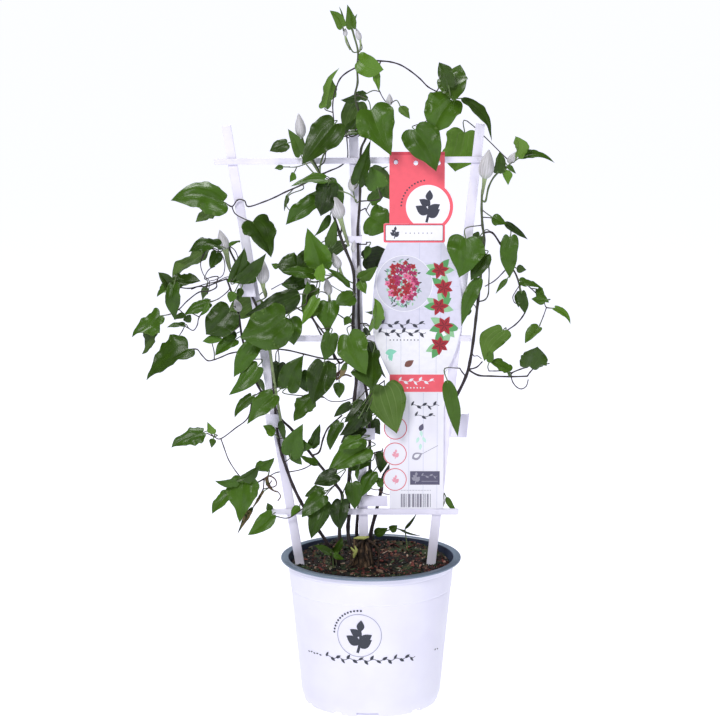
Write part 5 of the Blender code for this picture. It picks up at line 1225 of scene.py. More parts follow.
# Felted sepals: rough, with a silky sheen; grey-white with faint green ribs at 1 mm.
bud_felt, tree, shader = finish_of("felted_silver_sepals", "#CFCBD0", 0.62, IOR=1.4,
                                   Sheen_Weight=0.35, Sheen_Roughness=0.4)
own = add(tree, "Attribute", attribute_name="tint")
flat = add(tree, "UVMap", uv_map="UVMap")
long = add(tree, "Mapping", Vector=flat, Scale=(14.0, 1.0, 1.0))
hairs = add(tree, "TexNoise", Vector=long, Scale=2.4, Detail=5.0, Roughness=0.7)
silky = add(tree, "ValToRGB", Fac=hairs, stops={0.3: "#C9C9C6", 0.65: "#FFFFFF"})
shade = add(tree, "Mix", 1.0, own, silky, data_type="RGBA", blend_type="MULTIPLY")
bump = add(tree, "Bump", Strength=0.5, Distance=0.0004, Height=hairs)
fill(shader, Base_Color=shade, Normal=bump)

SEPAL_PALE, SEPAL_DULL, SEPAL_NECK = linear("#DEDBE0"), linear("#B9BAB4"), linear("#9DAE86")
sides = 32
for name, rows in BUDS.items():
    skin = Skin()
    for bx, bz, tx, tz, width, depth in rows:
        base, tip = seen(bx, bz, depth), seen(tx, tz, depth - 2)
        along, (side, up) = tip - base, frames_along([base, tip])[0]
        circles = []
        for share, size in BUD_SHAPE:
            circle, bend = [], up * (0.05 * width * math.sin(math.pi * share))
            for k in range(sides):
                angle = math.tau * k / sides
                ribs = math.cos(16 * angle + 1.2 * share)
                out = width / 2 * size * (1.0 + (0.045 * math.cos(4 * angle + 1.2 * share) + 0.028 * ribs))
                tint = mixed(SEPAL_PALE, SEPAL_DULL, 0.55 * (0.5 - 0.5 * ribs))
                tint = mixed(tint, SEPAL_NECK, max(0.0, 0.5 - share * 2.2))
                circle.append(skin.point(base + along * share + bend
                                         + (side * math.cos(angle) + up * math.sin(angle)) * out, tint))
            circles.append(circle)
        skin.wall(circles, [share for share, _ in BUD_SHAPE])
        top = skin.point(tip, linear("#C4C2BE"))
        for k in range(sides):
            skin.face((circles[-1][k], top, circles[-1][(k + 1) % sides]),
                      [(k / sides, 0.98), (k / sides, 1.0), ((k + 1) / sides, 0.98)])
    buds = skin.make(name + "_buds", bud_felt)
    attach(buds, "root")
    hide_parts(name)

# Young stalks and tendrils
# Fresh flower stalks, ribbed and wider under each bud, leaf stalks that have turned to wiry tendrils
# round the trellis, and withered bits of wood. Each row: kind, radius at the foot and at the end, points.
FRESH, TWINED, WITHERED = linear("#B4C98E"), linear("#3B3032"), linear("#6B4C3A")
TENDRILS = (
    (FRESH, 1.35, 1.1, (-52.4, 558.2, -12.8), (-57.7, 566.6, -12.8), (-63.2, 575.4, -12.4), (-69, 588, -12)),
    (FRESH, 1.2, 1, (-52.4, 558.2, -13), (-52, 566.6, -12), (-49.1, 576.9, -8), (-45.1, 583, -4)),
    (FRESH, 1, 0.8, (-53, 556, -14), (-59.4, 560.4, -15), (-68.7, 571.4, -15)),
    (FRESH, 0.9, 0.8, (-50, 549, -14.5), (-46.8, 547.1, -16), (-34.1, 542.2, -15), (-21.9, 537.8, -12),
     (-14.5, 531, -9)),
    (FRESH, 3.7, 1.4, (-32, 514.5, -19.6), (-29.5, 506, -18), (-26.5, 496, -16), (-23, 484, -13.5)),
    (FRESH, 3.4, 1.4, (-112, 446, -12), (-111, 439, -12), (-109, 431, -10)),
    (FRESH, 4.2, 1.6, (-150.2, 481, -10), (-148, 471, -10.5), (-145.5, 460, -9)),
    (FRESH, 2, 1, (-32.8, 462, -16), (-30, 455, -14.5), (-26, 447, -12)),
    (FRESH, 2, 1, (-43.5, 434.5, -10), (-42.5, 428, -9.5), (-40, 420, -9)),
    (FRESH, 3.4, 1.5, (117, 556, -14), (116, 548, -12), (114.6, 538, -9.8)),
    (FRESH, 1.5, 0.8, (-11, 696, -10), (-10.5, 690, -10), (-11.5, 683, -9)),
    (FRESH, 2, 1.4, (-105.5, 386, -12), (-104.8, 374, -13), (-102, 352, -14), (-99.5, 334, -14),
     (-96, 312, -15), (-92, 290, -13), (-88, 268, -9)),
    (FRESH, 1.4, 0.8, (-26, 700, -7), (-25, 693, -7.5), (-21, 685, -8)),
    (TWINED, 0.6, 0.45, (-186, 439, -9), (-173, 444, -10), (-160, 447, -11), (-148, 452, -12),
     (-137, 449, -10)),
    (TWINED, 0.65, 0.4, (-170, 479, -12), (-163, 482, -15), (-155, 477, -17), (-151, 466, -17),
     (-153, 454, -15), (-161, 449, -13), (-167, 447, -12), (-171, 438, -12)),
    (TWINED, 0.6, 0.4, (-147, 485, -9), (-140, 479, -11), (-137, 469, -12), (-139, 462, -11),
     (-137, 454, -9)),
    (TWINED, 0.55, 0.4, (-173, 476, -12), (-176, 465, -14), (-173, 454, -15), (-167, 447, -14),
     (-169, 434, -11)),
    (TWINED, 0.55, 0.4, (-103, 439, -9), (-94, 444, -12), (-86, 448, -13)),
    (TWINED, 0.8, 0.6, (-25, 601, -5), (-20, 597, -8), (-13, 600, -8), (-10.5, 604, -5), (-12, 598, 1),
     (-20, 595, 3.5), (-26, 598, 1), (-24, 602, -5)),
    (TWINED, 0.7, 0.5, (-10, 603, -9), (-14, 606, -10), (-16, 602, -10), (-12, 599, -10), (-9, 601, -10),
     (-8, 596, -10)),
    (TWINED, 0.7, 0.5, (-26, 604, -6), (-29, 600, -7), (-27, 597, -8), (-23, 599, -8), (-22, 603, -8)),
    (WITHERED, 2.4, 1.6, (-38, 346, -8), (-34.5, 350, -9), (-31, 353, -10), (-27, 360, -12), (-21, 363, -13)),
    (WITHERED, 1.5, 0.8, (-36, 344, -9), (-32, 347, -11), (-26, 349, -12), (-20, 347, -13)),
    (WITHERED, 0.9, 0.5, (-112, 238, -8), (-107, 241, -11), (-101, 238, -11), (-99, 232, -10),
     (-103, 229, -9),
     (-107, 231, -10), (-104, 236, -13)),
    (WITHERED, 0.8, 0.5, (-110, 232, -8), (-104, 226, -11), (-98, 224, -11), (-95, 219, -9), (-98, 214, -9)),
    (WITHERED, 0.7, 0.5, (8, 226, 3), (14, 222, 1), (20, 221, -2)),
    (WITHERED, 0.7, 0.4, (-2, 228, 4), (6, 226, -1), (12, 228, -2)),
    (WITHERED, 0.7, 0.4, (-4, 220, 4), (4, 219, 0), (11, 216, -2)),
)
skin = Skin()
for kind, foot, end, *rows in TENDRILS:
    path = [place for place, _ in smooth_path([seen(*row) for row in rows], 6)]
    shares = [i / (len(path) - 1) for i in range(len(path))]
    tube(skin, path, [foot + (end - foot) * share ** 0.6 for share in shares], 8,
         [mixed(kind, DARK_WOOD, 0.2 * chance_of(i, 9) + (0.4 * share if kind is FRESH else 0.0))
          for i, share in enumerate(shares)], ribs=0.03 if kind is TWINED else 0.10)
stalks = skin.make("clematis_tendrils", stem_bark)
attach(stalks, "root")

# Leaves
# Leathery young leaves with five veins from the base, an even margin that waves a little and a drawn out
# tip, satin green above and paler grey-green below, each on its own twisted stalk.
STALK, BLADE_THICK = 0.75, 0.5   # mm: half width of a leaf stalk, thickness of a blade
# Each row: base and tip as seen in the trellis plane, width, depth, how much deeper the tip is, roll, fold
# and arch in degrees. Roll 180 shows the underside. Some go on with their sideways bow as a share of the
# length, how drawn out the tip is, how light (+) or dark (-) the leaf is painted, and how dry, and end where
# the rest is nought. That light or dark is partly each leaf's own tone and partly painted light and shade:
# leaves deep in the foliage are set dark as painted shade, and a leaf in the shadow of the bars is set light
# as painted light.
LEAVES = {
    "stem_left": (
        (-140, 452, -131, 483, 17, -24, -4, 20, 30, 10), (-138, 447, -108, 477, 16, -26, -4, 20, 22, 12),
        (-124, 458, -149, 447, 29, -11, -4, 10, 20, 18),
        (-157, 484, -189, 478, 25.4, -23, -2, 47, 36, 70, 0.05, 0.3, -0.1),
        (-171, 478, -206, 447, 27.5, -2, 2, 129, 36, 16, -0.05, 0.3),
        (-159, 477, -166, 461, 15, -8, -2, 10, 24, 22), (-141, 436, -146, 425, 11, -27, 0, 0, 23, 23),
        (-134, 440, -138, 427, 10, -22, 0, 30, 19, 22),
        (-122, 381, -143, 346, 25.5, -15, -6, 0, 36, 16, 0.04, 0.3),
        (-104, 199, -130, 177, 19.5, -17, -5, 19, 28, 16, -0.07, 0.3, 0.1),
        (-95, 300, -90, 278, 8, -15, 0, 30, 12, 18), (-75, 208, -84, 197, 9, -15, 0, 20, 20, 30),
        (-106, 203, -109, 212, 8, -8, 0, 20, 21, 28),
        (-101, 286, -113, 295, 14, -16, -2, 30, 18, 14, 0.05, 0.2, 0.6),
        (-84, 264, -71, 297, 25, -13, -5, 0, 24, 26, -0.04, 0.5, -0.15),
        (-83, 267, -72, 253, 13, -7, -2, 20, 17, 25), (-80, 277, -61, 271, 15, -12, 0, 30, 18, 31),
        (-118, 430, -150, 410, 28, 18, 16, 165, 15, 20),
        (-147.2, 484.7, -135, 489, 4.4, -12, 2, 0, 14, 14, -0.05, 0.5),
    ),
    "stem_left_back": (
        (-203, 446, -176, 447, 28.6, -12, -3, -46, 36, 16, 0.04, 0.2),
        (-208, 441, -220, 457, 14.5, -23, 0, 13, 28, 16, 0.04, 0.3, -0.15),
        (-209, 441, -222, 431, 15.6, -6, 0, 37, 36, 16, 0.08, 0.2, -0.1),
        (-204, 443, -203, 406, 19, -27, -2, 18, 28, 35, 0.05, 0.4),
        (-219, 411, -248, 388, 31.9, -10, -4, 43, 36, 16, -0.04, 0.3),
        (-224, 398, -239, 371, 22.3, -13, 0, 228, 36, 16, -0.04, -0.3, -0.25),
        (-194, 401, -212, 399, 8.7, -6, 0, 37, 36, 16, 0.04, 0.3, -0.2),
        (-192, 411, -187, 404, 11, -2, 0, 20, 19, 22), (-168, 425, -194, 413, 15, -10, -3, 30, 19, 23),
        (-168, 424, -177, 411, 6.5, -18, -2, 0, 16, 16, -0.07, 0.3),
        (-146, 416.6, -171.5, 391.4, 35.8, -16, -6, 0, 28, 16, -0.03, -0.3),
        (-141, 386, -162, 369, 16.9, -10, -2, 18, 28, 16, 0.05, 0.3, -0.1),
        # These two lie behind other leaves and are set dark (-0.6) as painted shade.
        (-139.4, 408.9, -154.7, 391.1, 18.7, 8, 2, 17, 28, 16, 0.02, 0, -0.6),
        (-139.6, 392.8, -154.7, 386.8, 10.4, 10, 0, 0, 16, 16, 0.05, 0, -0.6),
        (-118.3, 357.3, -148.6, 327, 20.1, -14, -6, 0, 16, 16, -0.04, 0.6),
        (-124.9, 325.9, -142.5, 303.3, 14, -10, -2, 28, 28, 40, 0.05, 0.3),
        (-102, 327, -129.6, 296.1, 24.9, -44, -6, 15, 28, 16, 0.04, 0.8, 0.1),
        (-133, 237, -138, 190, 39, -16, -8, 22, 28, 16, 0, 0.8, 0.05),
        (-140, 235, -164, 236, 15, -22, -2, -35, 36, 16, -0.05, 0.5),
        (-150, 221, -167, 200, 20, -8, -3, 35, 36, 16, -0.01, 0.3),
        (-134, 238, -117, 252, 15, -27, -2, 30, 24, 22), (-118, 249, -101, 261, 15, -7, -2, 35, 24, 21),
        (-112, 225, -124, 206, 5, -11, 0, 40, 13, 30, -0.03, 0.5, -0.3, 1),
        (-124, 207, -141, 178, 8, -9, 0, 40, 21, 12, -0.02, 0.5, 0, 0.4),
        (-108, 241, -98, 223, 8, -6, 0, 50, 45, 50, 0.1, 0.5, -0.3, 0.95),
        (-176, 287, -209, 271, 30.9, -8, -4, 50, 36, 16, 0.03, 0.2),
        (-164, 286, -171, 299, 10, -12, 0, 150, 23, 23, 0.08, 0.5, 0.5),
        (-165, 281, -167, 271, 8, -10, 0, 20, 14, 13), (-57, 254, -75, 263, 11, -11, -2, 40, 25, 22),
        (-62, 272, -53, 297, 14, -7, 0, 25, 20, 40), (-36, 243, -60, 232, 19, -40, -4, 10, 17, 10),
        (-50, 225, -70, 219, 15, -8, 0, 30, 20, 24), (-50, 220, -73, 196, 20, -20, -5, 10, 17, 11),
        (-50, 212, -63, 173, 22, -14, -6, 0, 18, 19),
        (-170.9, 441.4, -174.5, 427.5, 8.1, 18, 12, 180, 16, 16, -0.03, 0.3, -0.2),
        (-116.8, 344.4, -110.6, 328.3, 6.5, 18, 14, 180, 16, 16, 0.02, 0.3, -0.3),
        (-192.2, 412.3, -204.8, 407.2, 7.3, -8, 2, 0, 14, 14, 0.07, 0.3, -0.1),
        (-156.4, 388.5, -175.3, 384.3, 9.3, -16, -2, 0, 14, 14, 0, -0.3),
    ),
    "stem_centre": (
        (-86, 590, -104, 582, 15, -9, -2, 30, 15, 11, 0.04, 0, -0.3),
        (-72, 579, -85, 605, 14.6, -12, -4, 0, 16, 16, 0.04, 0.5, 0.25),
        (-48, 553, -83, 546, 15.9, -29, -5, 39, 28, 16, 0.08, 0.5, 0.1),
        (-90, 566, -99, 564, 7, -10, 0, 20, 18, 17), (-79, 560, -83.5, 550, 8, -14, 0, 30, 16, 31),
        (-86, 537, -89, 520, 6, -9, 0, 40, 24, 22), (-57, 530, -88, 506, 20, -12, -4, 15, 23, 23),
        (-44, 548, -52, 515, 26, -23, -5, -15, 19, 22), (-46, 549, -28, 527, 25, 6, 4, 15, 19, 23),
        (-42, 516, -59, 494, 8.8, -8, -2, 0, 16, 16, -0.07, 0.5, -0.3),
        (-42, 484, -37, 512, 14, -16, -4, 35, 12, 18, -0.03, 0.4, 0.25),
        (-52, 463, -66, 503, 32.4, -18, -8, -20, 28, 16, 0.05, 0.5, 0.12),
        (-74, 464, -98, 463, 25, -12, -4, 20, 21, 28), (-60, 455, -92, 457, 17, -26, -5, 40, 18, 14),
        (-67.9, 449.6, -92.8, 443.6, 18.2, 5, 4, 0, 16, 16, -0.04, 0, -0.5),
        (-53, 449, -50, 466, 13, -30, -2, 150, 17, 25, 0.05, 0, 0.7),
        (-66, 434, -66, 448, 8, -26, 0, 30, 18, 31),
        (-44, 425, -44.4, 390.7, 24.7, -14, -6, 0, 16, 16, 0.04, 0.9),
        (-19, 432, -37, 422, 21, -24, -4, 30, 26, 30),
        (-56.3, 428.8, -71.8, 401.4, 13.6, -24, -4, 13, 28, 16, -0.01, 0.4, 0.5),
        (-57, 440, -71, 421, 16, -10, -3, 20, 24, 22, 0.04, 0.3, 0.1),
        (-22.7, 390.6, -4.7, 349.1, 36.3, -28, -8, 12, 28, 16, 0.03, 0.25, 0.15),
        (2.3, 372, 1.6, 332, 44.4, -23, -6, 38, 28, 16, -0.03, 0.2, 0.15),
        (-40, 470, -49, 478, 10, -6, 0, 20, 21, 12), (-22, 441, -48, 462, 9, -22, -4, 40, 25, 19),
        (-152, 530, -206, 531, 42, -7, -6, 33, 28, 16, 0.15, 0.3, 0.1),
        (-160, 524, -181, 509, 18.7, 3, 2, 145, 36, 16, 0.08, 0, -0.1),
        (-122, 509, -103, 472, 46, -15, -6, -36, 28, 16, -0.05, 0.8),
        (-87.6, 335.3, -70.1, 369.5, 28, -17, -4, 0, 28, 16, -0.06, 0.2),
        (-99.2, 360, -104.6, 332.3, 19.7, 4, 3, 0, 16, 16, -0.05, 0, -0.45),
        (-48.5, 360, -60.9, 317, 37.8, -21, -8, 0, 36, 16, 0.03, 0.4, 0.05),
        (-62, 325, -80.8, 299.3, 22.6, -16, -4, 33, 28, 16, 0.06, -0.1, 0.1),
        (-41.8, 357.8, -67.6, 352.6, 14.6, -12, -2, 25, 28, 16, 0.03, 0.3, -0.2),
        (-26, 361, -34, 343, 6.5, -22, 0, 180, 16, 16, 0.05, 0.3, 0, 0.6),
        (-33, 341, -33, 324, 14, -10, 0, 10, 20, 14),
        (-5, 271, -46, 244, 31.2, -22, -6, 25, 28, 16, 0.02, 0.2, 0.2),
        (-32, 297, -43, 268, 16, -9, -3, 25, 21, 26), (-11, 281, -33, 270, 17, -31, -2, 30, 25, 28),
        (-31, 214, -32, 182, 21, -16, -6, 10, 15, 20), (-20, 233, -17, 205, 19, -12, -4, -10, 16, 20),
        (-190, 376, -234, 343, 47.3, -13, -8, 46, 36, 16, 0.03, 0.5, 0.05),
        (-89, 409, -136, 388, 47, -32, -10, 0, 24, 19, -0.07, -0.3, 0.1),
        (-84, 408, -80, 380, 27, -14, -4, 0, 21, 12), (-74, 434, -131, 411, 25, -18, -6, 20, 20, 30),
        (-22, 410, -28, 401, 9, -18, 0, 20, 19, 21), (-24, 602, -13, 618, 16, 9, 3, 20, 23, 31),
        (-47.3, 540.3, -64.8, 537.9, 8.1, 16, 14, 180, 16, 16, 0.02, 0.8, -0.1),
        (-29.2, 486.3, -45.7, 469, 14.6, 20, 16, 180, 16, 16, -0.07, 0.3, -0.1),
        (-41.7, 392.1, -48.4, 363.5, 18.2, -26, -2, 0, 16, 16, -0.02, 0, -0.15),
        (-54.6, 420.3, -70.2, 406.8, 12.1, -14, -2, 0, 14, 14, 0.04, 0.3, 0.4),
        (-28.4, 451, -44.5, 455.5, 5.8, -20, -2, 0, 14, 14, 0.04, 0.6, 0.4),
        (-56.3, 422.2, -67.3, 414, 8.7, -8, -2, 0, 14, 14, 0.07, 0.3, 0.5),
        (-94.9, 462.8, -102.9, 465.8, 6.4, -10, 2, 0, 14, 14, -0.07, 0.2, -0.2),
        (-63, 476, -75.5, 457, 18, -14, -2, 10, 20, 16, 0.05, 0.3, -0.2),
        (-58.3, 463, -74.5, 453, 15, -18, -2, 20, 20, 16, -0.05, 0.4, 0.15),
        (-62.5, 429, -69.1, 408, 14, -12, -2, 10, 20, 16, 0.04, 0.4, -0.1),
        (-95.7, 361, -100.4, 333, 17, -12, -2, 0, 16, 16, -0.05, 0, -0.35),
        (-72, 352, -66, 330, 16, -8, 2, 15, 18, 16, 0.05, 0.2, -0.25),
    ),
    "stem_top": (
        (-29, 709, -42, 725, 15, -16, 4, 0, 40, 30, 0.1, 0.5, 0.05),
        (-19, 708, -24, 731, 15, -13, -3, -14, 38, 20, 0.04, 0.6, -0.1),
        (-12, 674, 13, 665, 22.7, -16, -8, 0, 16, 16, 0.08, -0.3, 0.35),
        (4.9, 662.4, 8.4, 642.4, 9.4, -13, 2, -25, 28, 16, 0.05, 0.6, 0.5),
        (-46, 628, -32, 667, 24.2, -12, -6, 230, 36, 15, 0.06, 0.3, 0.35),
        (-6, 640, -31, 635, 18.9, 6, 3, -45, 36, 16, -0.04, 0.3, -0.2),
        (30, 628, 40, 615, 11, -22, -4, 150, 23, 23),
        (-37, 610, -71, 568, 41.8, -24, -8, 19, 28, 16, -0.01, 0.6, 0.1),
        (0, 624, 21, 577, 47.8, -22, -10, -16, 28, 16, 0.04, 0.9, -0.12),
        (45, 604, 67, 561, 39, -24, -6, 0, 16, 16, -0.07, 0.5, -0.3),
        (80.9, 659, 85.7, 632.8, 31.3, -18, -22, 0, 12, 40, -0.03, 0.2, -0.1),
        (82, 634, 63, 600, 40.6, -16, -6, 12, 28, 16, 0.05, 0.1, -0.2),
        (93, 636, 124, 592, 15.8, -12, -4, -36, 28, 45, -0.12, 0.4, -0.1),
        (-5.8, 398.8, 16.6, 344.3, 17.9, 9, 2, 41, 28, 16, 0.05, 0.4, -0.6),
        (3, 399, 3, 430, 23.8, -16, -4, 46, 36, 70, -0.04, -0.2, 0.65),
        (14.1, 336.8, 27, 286.4, 40, -18, -12, 190, 16, 18, 0, 0.4, 0.1),
        # Set dark (-0.6) as painted shade, deep in the foliage.
        (0, 322, -6, 297, 16, -14, -4, 10, 18, 31, 0.04, 0.4, -0.6),
                 (-1, 515, 20, 502, 34, 5, 4, -15, 15, 20),
        (0, 530, 14, 545, 16, 6, 2, 30, 26, 30), (7, 545, 0, 566, 25, -8, -6, 0, 22, 21),
        (-13, 550, 0, 594, 21.9, -18, -3, -32, 28, 20, 0.04, 0.4), (-2, 564, 18, 567, 9, 23, 2, 65, 24, 21),
        (-7.2, 471.7, 20.6, 476.8, 25.8, 33, 3, 18, 16, 16, -0.03, 0, -0.3),
        (-11, 451, 7, 463, 14, -17, -4, 30, 21, 12, -0.02, 0.4, 0.3),
        (-11, 448, -5, 434, 11.5, -12, -4, 0, 16, 16, 0.02, 0.3, 0.2),
        (2, 245, -10, 218, 16, -9, -4, 25, 15, 29), (-13, 249, -14, 236, 6, -16, 0, 30, 23, 23),
        (12, 266, 10, 244, 15, 10, 2, 0, 14, 13),
        # The four set at -0.6 to -0.7 here are darkened as painted shade, deep in the foliage.
        (-8, 318, -28, 298, 17, -18, -4, 20, 25, 22, -0.06, 0.4, -0.7),
        (-4, 311, -18, 291, 16, -25, -4, 0, 14, 27, -0.05, 0.4, -0.7),
        (-9, 293, -32, 276, 18, -18, -3, 20, 17, 10, 0.03, 0.4, -0.6),
        (2, 300, 10, 285, 14, 7, 0, 10, 20, 24, 0.06, 0.4, -0.7), (-3, 256, -24, 246, 11, -8, 0, 30, 17, 11),
        (-2, 484, -6, 470, 9, 6, 0, 20, 18, 19),
        (-13.8, 631.9, -27, 597.9, 24.4, 16, 14, 180, 16, 16, -0.03, 0, -0.2),
        (0, 560, 26, 530, 28, 8, 12, 170, 14, 26),
        (4.4, 416.7, -6.6, 415.4, 4.9, 14, 20, 180, 16, 16, 0.07, 0.5, -0.3),
        # Set dark (-0.7) as painted shade, deep in the foliage.
        (2, 300, -22, 268, 26, 22, 14, 170, 25, 28, 0, 0.4, -0.7),
        (79.4, 647.9, 69.3, 672.8, 16, -40, 2, 0, 24, 20, 0.08, -0.8, -0.1),
        (86.1, 647.5, 90.9, 670.4, 18, -12, 2, 0, 24, 20, -0.01, -0.8, -0.1),
        # These two are set dark (-0.7) as painted shade, deep in the foliage.
        (-21.3, 317.3, -39, 303.7, 10.2, -16, 2, 0, 14, 14, 0.03, 0.2, -0.7),
        (-12.4, 303.7, -33.2, 284.1, 13.1, -31, 2, 0, 14, 14, -0.07, 0.2, -0.7),
        (-29, 709, -32, 729, 9, -10, 2, 70, 40, 20, 0.05, 0.5, 0.1),
        (-19, 708, -14, 722, 9, -12, 2, -60, 40, 20, 0.05, 0.5, 0.1),
        (-12, 601, -29, 598, 10, -12, 2, 50, 40, 30, 0.1, 0, -0.9),
    ),
    "stem_right": (
        # Set light (0.9) as painted light: this leaf lies behind the bars in their shadow.
        (96, 601, 86.3, 560.9, 42.6, 29, 2, 161, 28, 16, 0.04, -0.6, 0.9),
        (130, 561, 132, 582, 13, -6, 0, 20, 22, 12),
        (150, 577, 148, 598, 20.8, -18, -2, 131, 36, 60, -0.08, 0, 0.5),
        (152, 575, 188.8, 569.9, 14.1, -6, -3, -35, 36, 70, -0.1, 0.4, 0.1),
        (138, 563, 141, 547, 11, -5, 0, 20, 16, 31, -0.04, 0.4, 0.5),
        (140, 567, 149, 559, 6, -10, 0, 20, 24, 22),
        (125, 514, 140, 506.6, 14, -16, -2, -28, 28, 16, 0.04, 0.2),
        (137.7, 508.5, 161.9, 490.7, 9, -13, -3, -13, 28, 16, -0.01, 0.1),
        (143.3, 492.9, 143.7, 450.2, 20, -13, -5, 0, 16, 16, 0.04, 0.1, -0.1),
        (97.9, 491.8, 91, 451, 40.3, -15, -6, 0, 16, 16, -0.07, 0.5),
        (119, 475, 103, 448, 17, -9, -2, 20, 12, 18),
        (113.3, 451, 94, 400, 14.7, -7.2, 0, 0, 5, 5, 0.05, 0.2, -0.2),
        (137, 396, 118, 363, 25, -15, -4, 180, 18, 16, -0.15, 0.2, 0.38),
        (144, 352, 123, 363, 23.9, -9, -3, 50, 36, 16, 0.05, -0.2, 0.2),
        (123, 362, 127, 377, 9, -16, 0, 20, 24, 26),
        (165, 358, 173, 379, 31, -12, -4, 25, 30, 25, 0.05, -0.6, -0.4),
        (155, 447, 177, 441, 12.7, -18, -2, -41, 28, 16, 0.04, 0.4),
        (173, 439, 185, 425, 11, -12, -2, 30, 20, 60), (181, 428, 166, 429, 11, -22, -2, 10, 26, 30),
        (191, 419, 207, 402, 10.9, -15, -2, -37, 36, 40, -0.08, 0.5, 0.45),
        (174, 399, 160, 382, 14, -7, -3, 20, 24, 22, 0.04, 0.2, 0.35),
        (141, 450, 129, 434, 5.8, -9, -2, 0, 16, 16, 0.03, 0.4, -0.1),
        (156, 436, 160, 413, 12, -20, -2, 10, 13, 12), (154, 436, 153, 420, 10, -15, -2, 20, 21, 12),
        (79.5, 343, 91, 283, 15, -38.2, 0, 0, 5, 5, -0.02, -0.4, 0.1),
                   (12, 230, 5, 240, 9, -3, 0, 20, 15, 29),
        (141.8, 484.8, 145.1, 461.2, 9.7, 16, 14, 180, 16, 16, 0.08, 0.3, -0.2),
        (100.3, 419.3, 70.7, 406.7, 16.1, 18, 14, 180, 16, 16, -0.01, 0.3, -0.2),
        (112.2, 494.1, 94.5, 469.1, 16.1, 16, 12, 180, 16, 16, -0.06, 0.3, -0.2),
        (58.3, 302.2, 77, 278, 20.8, 20, 14, 180, 16, 16, -0.05, 0.3, -0.2),
        (150.6, 460.9, 161, 459.3, 9.3, -7, 2, 0, 14, 14, 0.03, 0.5),
    ),
    "sprig_left": (
        (-42, 158, -60, 166, 9, -29, -4, 30, 15, 11), (-40, 159, -30, 175, 10, -20, -2, 30, 22, 12),
        (-39, 157, -28, 151, 8, -34, -4, 20, 20, 18),
    ),
    "sprig_right": (
        (4, 178, 18, 185, 11, 19, -3, 20, 15, 11), (20, 183, 28, 188, 10, 16, -2, 10, 22, 12),
    ),
    "sprig_back": (
        (79, 218, 92, 199, 6.9, 4, 0, 0, 16, 16, 0.04, 0.5, 0.3),
    ),
    "grass_blade": (
        (36.1, 184, 48.5, 201.2, 3.7, 28, 0, 0, 10, 30, 0.04, 0.5, -0.1, 0.1),
        (31.5, 182.3, 53.7, 176.2, 2.4, 27, 2, 0, 10, 60, 0.04, 0.5, -0.1, 0.1),
    ),
}

# A blade's half outline: (half width, place along) of the edge, and the place along the midrib that it
# is drawn from. Wide blades have rounded lobes beside the stalk.
HEART = (
    (0.03, 0.0, 0.0), (0.20, -0.055, 0.01), (0.43, -0.085, 0.03), (0.68, -0.06, 0.06), (0.88, 0.02, 0.11),
    (0.98, 0.13, 0.19), (1.0, 0.25, 0.28), (0.985, 0.36, 0.37), (0.94, 0.47, 0.47), (0.86, 0.57, 0.57),
    (0.74, 0.665, 0.665), (0.58, 0.75, 0.75), (0.40, 0.83, 0.83), (0.23, 0.90, 0.90), (0.09, 0.955, 0.955),
    (0.0, 1.0, 1.0),
)
SPEAR = (
    (0.03, 0.0, 0.0), (0.24, 0.0, 0.01), (0.50, 0.03, 0.04), (0.74, 0.08, 0.09), (0.91, 0.16, 0.17),
    (0.99, 0.25, 0.26), (1.0, 0.34, 0.34), (0.97, 0.43, 0.43), (0.91, 0.52, 0.52), (0.81, 0.60, 0.60),
    (0.68, 0.68, 0.68), (0.53, 0.76, 0.76), (0.37, 0.83, 0.83), (0.22, 0.90, 0.90), (0.09, 0.955, 0.955),
    (0.0, 1.0, 1.0),
)


